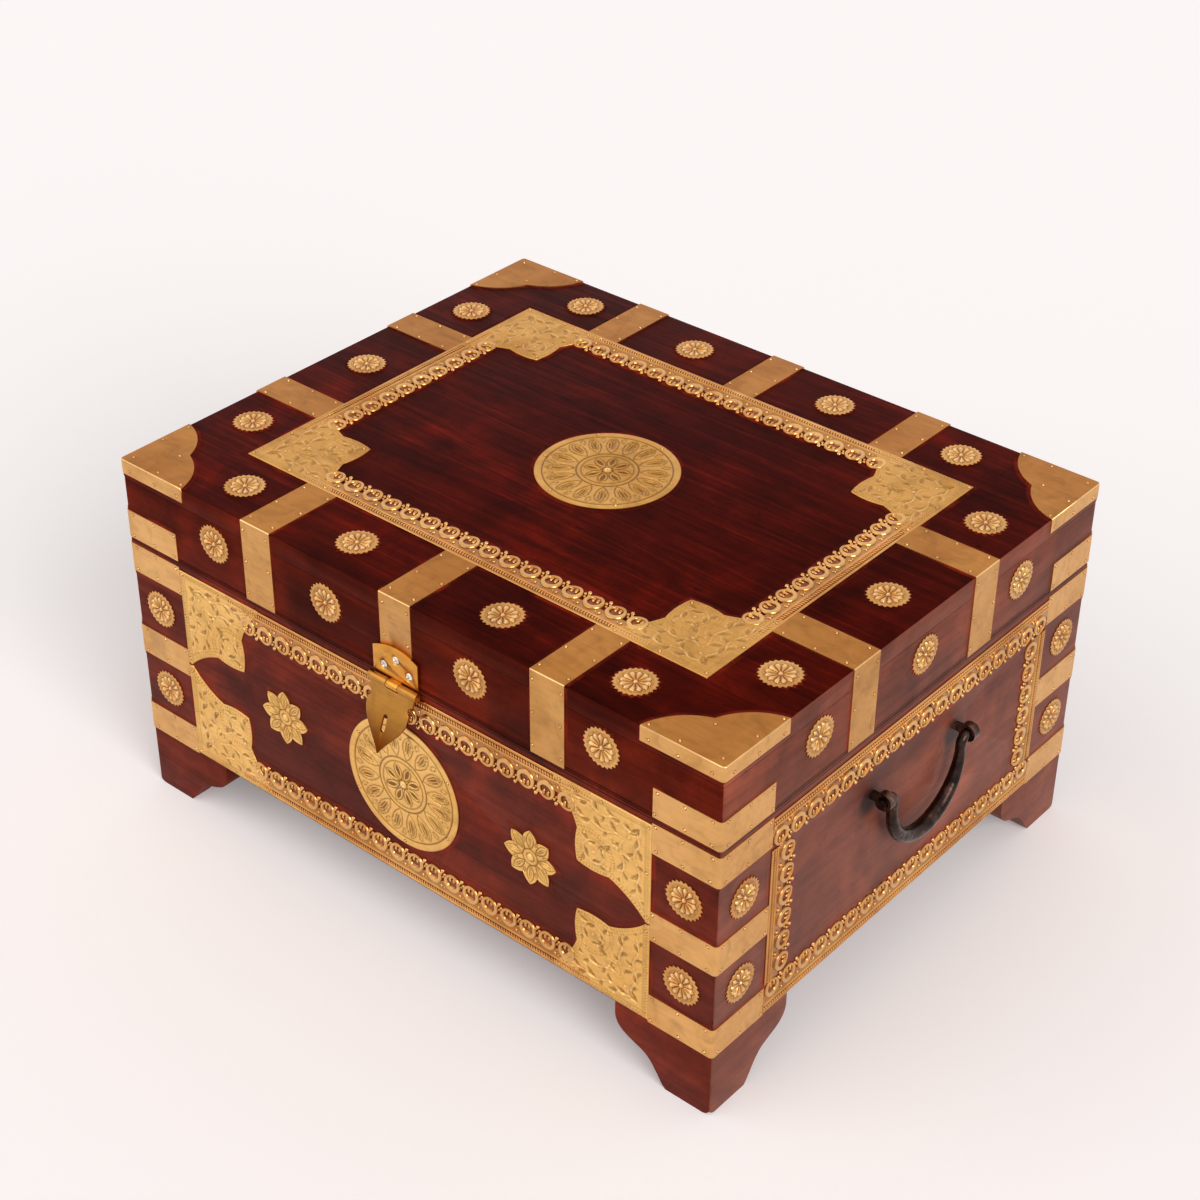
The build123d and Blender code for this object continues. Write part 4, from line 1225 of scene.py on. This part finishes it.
def cornerHeight(x, y, inner, place):
    # x and y run along the outer edges, inner is the distance to the lobed edge and place the way along it
    look = cornerLook
    near, along = min(x, y), max(x, y)
    ground, pitch = look["ground"], look["hatchPitch"]
    curls = math.sin(1.5 * x + 2.1 * math.sin(0.7 * y + 0.4)) * math.sin(1.4 * y + 2.2 * math.sin(0.8 * x))
    height = ground + vary(look["grain"]) + 0.11 * curls
    for leaf in cornerLeaves:
        height += leafRelief(x, y, leaf)
    stem = min(lineGap(x, y, a, b) for a, b in cornerStems)
    height += 0.20 * dip(stem, 0.42) - 0.26 * dip(stem - 0.85, 0.36)
    for cx, cy, radius in look["arcs"]:
        if x + y < cx + cy + 6:
            gap = math.hypot(x - cx, y - cy) - radius
            turn = math.atan2(y - cy, x - cx) * radius
            height -= 0.48 * dip(gap, 0.5) * (0.5 + 0.5 * math.sin(2 * math.pi * turn / look["arcPitch"]))
    for cx, cy in look["dots"]:
        gap = math.hypot(x - cx, y - cy)
        if gap < 2.2:
            height += 0.50 * dip(gap, 0.62) - 0.24 * dip(gap - 1.25, 0.35)
    if near < look["hatchWidth"]:
        hatch = math.sin(2 * math.pi * (along + 0.8 * near) / pitch)
        height = ground - 0.06 + 0.24 * hatch * smoothStep(0.5, 1.0, near) * (1 - smoothStep(2.5, 3.0, near))
    if inner < look["tickWidth"] and near > 2:
        ticks = 0.5 + 0.5 * math.sin(2 * math.pi * place / pitch)
        height = ground - 0.42 * ticks ** 2 * smoothStep(0.5, 0.9, inner) * (1 - smoothStep(2.0, 2.6, inner))
    height -= 0.30 * dip(near - 3.4, 0.34) + 0.26 * dip(inner - 3.2, 0.32) * smoothStep(2, 4, near)
    return height - 0.25 * (1 - smoothStep(0.0, 0.5, min(near, inner)))


def cutAcross(bm, faces, axis):
    # evenly spaced cuts across some faces, for pressing them in detail
    size = cornerLook["size"]
    count = round(size / cornerLook["step"])
    live = set(faces)
    for i in range(1, count):
        edges = {edge for face in live for edge in face.edges}
        verts = {vert for face in live for vert in face.verts}
        cut = bmesh.ops.bisect_plane(
            bm, geom=list(live) + list(edges) + list(verts), dist=1e-7,
            plane_co=axis * (size * i / count) * mm, plane_no=axis,
        )
        live = {item for item in cut["geom"] if isinstance(item, bmesh.types.BMFace)}
    return live


def lobedEdge(tops):
    # points along the inner edge of a corner piece, a fraction of a millimetre apart
    size, end = cornerLook["size"], cornerLook["edgeEnd"]
    rim = [v.co.xy / mm for face in tops for v in face.verts]
    rim = [p for p in rim if p.x > 1 and p.y > 1] + [Vector((size, end)), Vector((end, size))]
    rim.sort(key=lambda p: math.atan2(p.y, p.x))
    dense = []
    for first, second in zip(rim, rim[1:]):
        pieces = max(1, round((second - first).length / cornerLook["edgeStep"]))
        dense += [first.lerp(second, i / pieces) for i in range(pieces)]
    tree = kdtree.KDTree(len(dense))
    for i, p in enumerate(dense):
        tree.insert((p.x, p.y, 0), i)
    tree.balance()
    return tree


def cornerPlate(node, place, halfX, halfY):
    # one piece taken from the CAD node, cut finely and pressed
    bm = nodeCopy(node)
    home = at(-halfX, -halfY).inverted() @ place.inverted()
    bmesh.ops.transform(bm, matrix=home, verts=bm.verts)
    limit = (cornerLook["size"] + 0.5) * mm
    others = [v for v in bm.verts if v.co.x > limit or v.co.y > limit]
    bmesh.ops.delete(bm, geom=others, context="VERTS")
    tops = [face for face in bm.faces if face.normal.z > 0.9]
    edge = lobedEdge(tops)
    live = cutAcross(bm, tops, Vector((1, 0, 0)))
    live = cutAcross(bm, live, Vector((0, 1, 0)))
    # sorted, so that the random grain falls alike in every run
    for vert in sorted({v for face in live for v in face.verts}, key=lambda v: v.co.to_tuple()):
        x, y = vert.co.x / mm, vert.co.y / mm
        _, index, inner = edge.find((x, y, 0))
        height = cornerHeight(x, y, inner, index * cornerLook["edgeStep"])
        vert.co.z = max(cornerLook["floor"], min(emboss, height)) * mm
    return pressedMotif(bm, 0.26, 0.80, 0.60)


embossedCorner = cornerPlate("front_embossed_corners", frontPanel, panelHalf, panelRise)


def cornerSet(name, body, node, place, halfX, halfY, gilt):
    # four stampings
    depth, shade = cornerLook[body]
    bm = pressedMesh()
    hollowStainShade = bm.verts.layers.float["hollowStainShade"]
    for x, y, turn in ((-halfX, -halfY, 0), (halfX, -halfY, 90), (halfX, halfY, 180), (-halfX, halfY, 270)):
        stamp(bm, embossedCorner, at(x, y, 0, turn))
        driveNails(body, place @ at(x, y, 0, turn), cornerLook["nails"], cornerLook["nailStand"])
    ground = cornerLook["ground"] * mm
    for vert in bm.verts:
        vert[hollowStainShade] *= shade
        if vert.co.z > 0.1 * mm:
            vert.co.z = ground + (vert.co.z - ground) * depth
    addEmbossed(bm, name, body, gilt, node, place)


cornerSet("lidCorners", "lid", "lid_embossed_corners", topFace, frameX, frameY, giltLidShaded)
cornerSet("frontCorners", "box", "front_embossed_corners", frontPanel, panelHalf, panelRise, giltFrontLit)
print("corner pieces done")

for body, bm in nails.items():
    addPiece(bm, body + "Nails", body, [plainSheet, recessShade])

# Screw heads: low domes with a cross cut into each; the hasp's sit in seats darkened with painted shade
screwLook = {
    "radius": 2.1, "rings": 7, "steps": 32, "dome": 0.66, "slot": 0.40, "reach": 1.35, "cut": 0.5,
    "seat": 2.8, "seatHeight": 0.05, "haspStand": 1.11, "hingeStand": 1.21,
}


def screwHeight(r, angle):
    look = screwLook
    x, y = abs(r * math.cos(angle)), abs(r * math.sin(angle))
    height = look["dome"] * (1 - (r / look["radius"]) ** 2.4) + 0.1
    inside = max(x, y) < look["reach"] and min(x, y) < look["slot"]
    return max(0.05, height - look["cut"]) if inside else height


def addScrewHeads(name, body, node, side, stand, seated):
    # the heads sit on the CAD screws, a touch off their middles
    look = screwLook
    wide, high, steps = look["seat"], look["seatHeight"], look["steps"]
    head = asMesh(pressedDisc(look["radius"], look["rings"], steps, screwHeight, None, 0.2))
    seat = spunShape(((0, 0), (wide, 0), (wide, high), (0, high)), steps)
    for face in seat.faces:
        face.material_index = 1
    seat = asMesh(seat)
    bm = bmesh.new()
    for x, z in spotsOf(node, side, deepest=-12):
        if seated:
            stamp(bm, seat, at(x, z, stand))
        x += random.uniform(-0.3, 0.1)
        z += random.uniform(-0.3, 0.0)
        stamp(bm, head, at(x, z, stand, random.uniform(0, 90)))
    addPiece(bm, name, body, [screwSteel, recessShade], place=facePlace(side))


addScrewHeads("haspScrewHeads", "lid", "hasp_screws", "front", screwLook["haspStand"], True)
addScrewHeads("hingeLidHeads", "lid", "hinge_lid_screws", "back", screwLook["hingeStand"], False)
addScrewHeads("hingeBodyHeads", "box", "hinge_body_screws", "back", screwLook["hingeStand"], False)

# Hasp and hinges with softened edges
hardwareLook = {"plate": 0.25, "flap": 0.22, "leaf": 0.2, "above": 50}


def dressHardware():
    leaves = [f"{side}_hinge_{half}_leaf" for half in ("lid", "body") for side in ("left", "right")]
    for node in ("hasp_plate", "hasp_flap", *leaves):
        body = "flap" if node == "hasp_flap" else "box" if "body" in node else "lid"
        finish = flapBrass if body == "flap" else hardwareBrass
        bm = softCopy(node, hardwareLook[node.split("_")[-1]], 2, hardwareLook["above"])
        addPiece(bm, node + "_brass", body, [finish], [node])


dressHardware()
print("hardware done")

# Camera at the photograph's place
cameraView = {
    "azimuth": 40.19, "elevation": 34.04, "roll": 0.433, "distance": 1218.7,
    "target": (-4.2, 0.0, 124.05), "lens": 71.0,
}


def placeCamera():
    azimuth, elevation, roll = (math.radians(cameraView[key]) for key in ("azimuth", "elevation", "roll"))
    level = Vector((math.sin(azimuth), -math.cos(azimuth), 0)) * math.cos(elevation)
    back = level + up * math.sin(elevation)
    right = Vector((math.cos(azimuth), math.sin(azimuth), 0))
    over = back.cross(right)
    turned = Matrix((
        math.cos(roll) * right + math.sin(roll) * over, math.cos(roll) * over - math.sin(roll) * right, back,
    )).transposed()
    spot = (Vector(cameraView["target"]) + Vector((0, middleY, 0)) + back * cameraView["distance"]) * mm
    data = bpy.data.cameras.new("camera")
    data.lens = cameraView["lens"]
    camera = addObject("camera", data)
    camera.matrix_world = Matrix.Translation(spot) @ turned.to_4x4()
    bpy.context.scene.camera = camera


placeCamera()

# Floor, lamps and white surroundings; lamps are (strength, direction, angle)
studio = {
    "floor": (0.93, 0.885, 0.875), "floorSize": 30.0, "lift": 0.16,
    "white": (0.975, 0.925, 0.915), "sky": 0.50,
    "lamps": {"keyLamp": (1.65, (1.0, -0.35, 0.62), 34), "fillLamp": (0.60, (-0.55, -0.9, 0.8), 60)},
}


def raySeen(owner, *kinds):
    # 1 for rays of the named kinds and 0 for all others
    path = addNode(owner, "ShaderNodeLightPath")
    seen = path.outputs[kinds[0]]
    for kind in kinds[1:]:
        either = addNode(owner, "ShaderNodeMath", operation="MAXIMUM")
        link(owner, seen, either.inputs[0])
        link(owner, path.outputs[kind], either.inputs[1])
        seen = either.outputs[0]
    return seen


def layFloor():
    bm = bmesh.new()
    bmesh.ops.create_grid(bm, x_segments=1, y_segments=1, size=studio["floorSize"] / 2)
    floor = addObject("floor", asMesh(bm, "floor"))
    material = newMaterial("floorPaper", roughness=0.9, specular=0.0)
    shaderInput(material, "Base Color").default_value = (*studio["floor"], 1)
    shaderInput(material, "Emission Color").default_value = (*studio["white"], 1)
    # the camera and the brass see the floor a little whiter than it is lit
    lift = addNode(material, "ShaderNodeMath", {1: studio["lift"]}, operation="MULTIPLY")
    link(material, raySeen(material, "Is Camera Ray", "Is Glossy Ray"), lift.inputs[0])
    setInput(material, "Emission Strength", lift.outputs[0])
    floor.data.materials.append(material)


def hangLamps():
    for name, (strength, source, angle) in studio["lamps"].items():
        lamp = bpy.data.lights.new(name, "SUN")
        lamp.energy = strength
        lamp.angle = math.radians(angle)
        addObject(name, lamp).rotation_euler = Vector(source).to_track_quat("Z", "Y").to_euler()


def whitenWorld():
    world = bpy.data.worlds.new("studio")
    world.use_nodes = True
    plain = world.node_tree.nodes["Background"]
    plain.inputs["Color"].default_value = (1, 1, 1, 1)
    plain.inputs["Strength"].default_value = studio["sky"]
    white = addNode(world, "ShaderNodeBackground", {"Color": (*studio["white"], 1), "Strength": 1.0})
    blend = addNode(world, "ShaderNodeMixShader")
    link(world, raySeen(world, "Is Camera Ray", "Is Glossy Ray", "Is Transmission Ray"), blend.inputs[0])
    link(world, plain.outputs[0], blend.inputs[1])
    link(world, white.outputs[0], blend.inputs[2])
    link(world, blend.outputs[0], world.node_tree.nodes["World Output"].inputs["Surface"])
    bpy.context.scene.world = world


layFloor()
hangLamps()
whitenWorld()
bpy.context.scene.view_settings.view_transform = "Standard"
print("studio built")
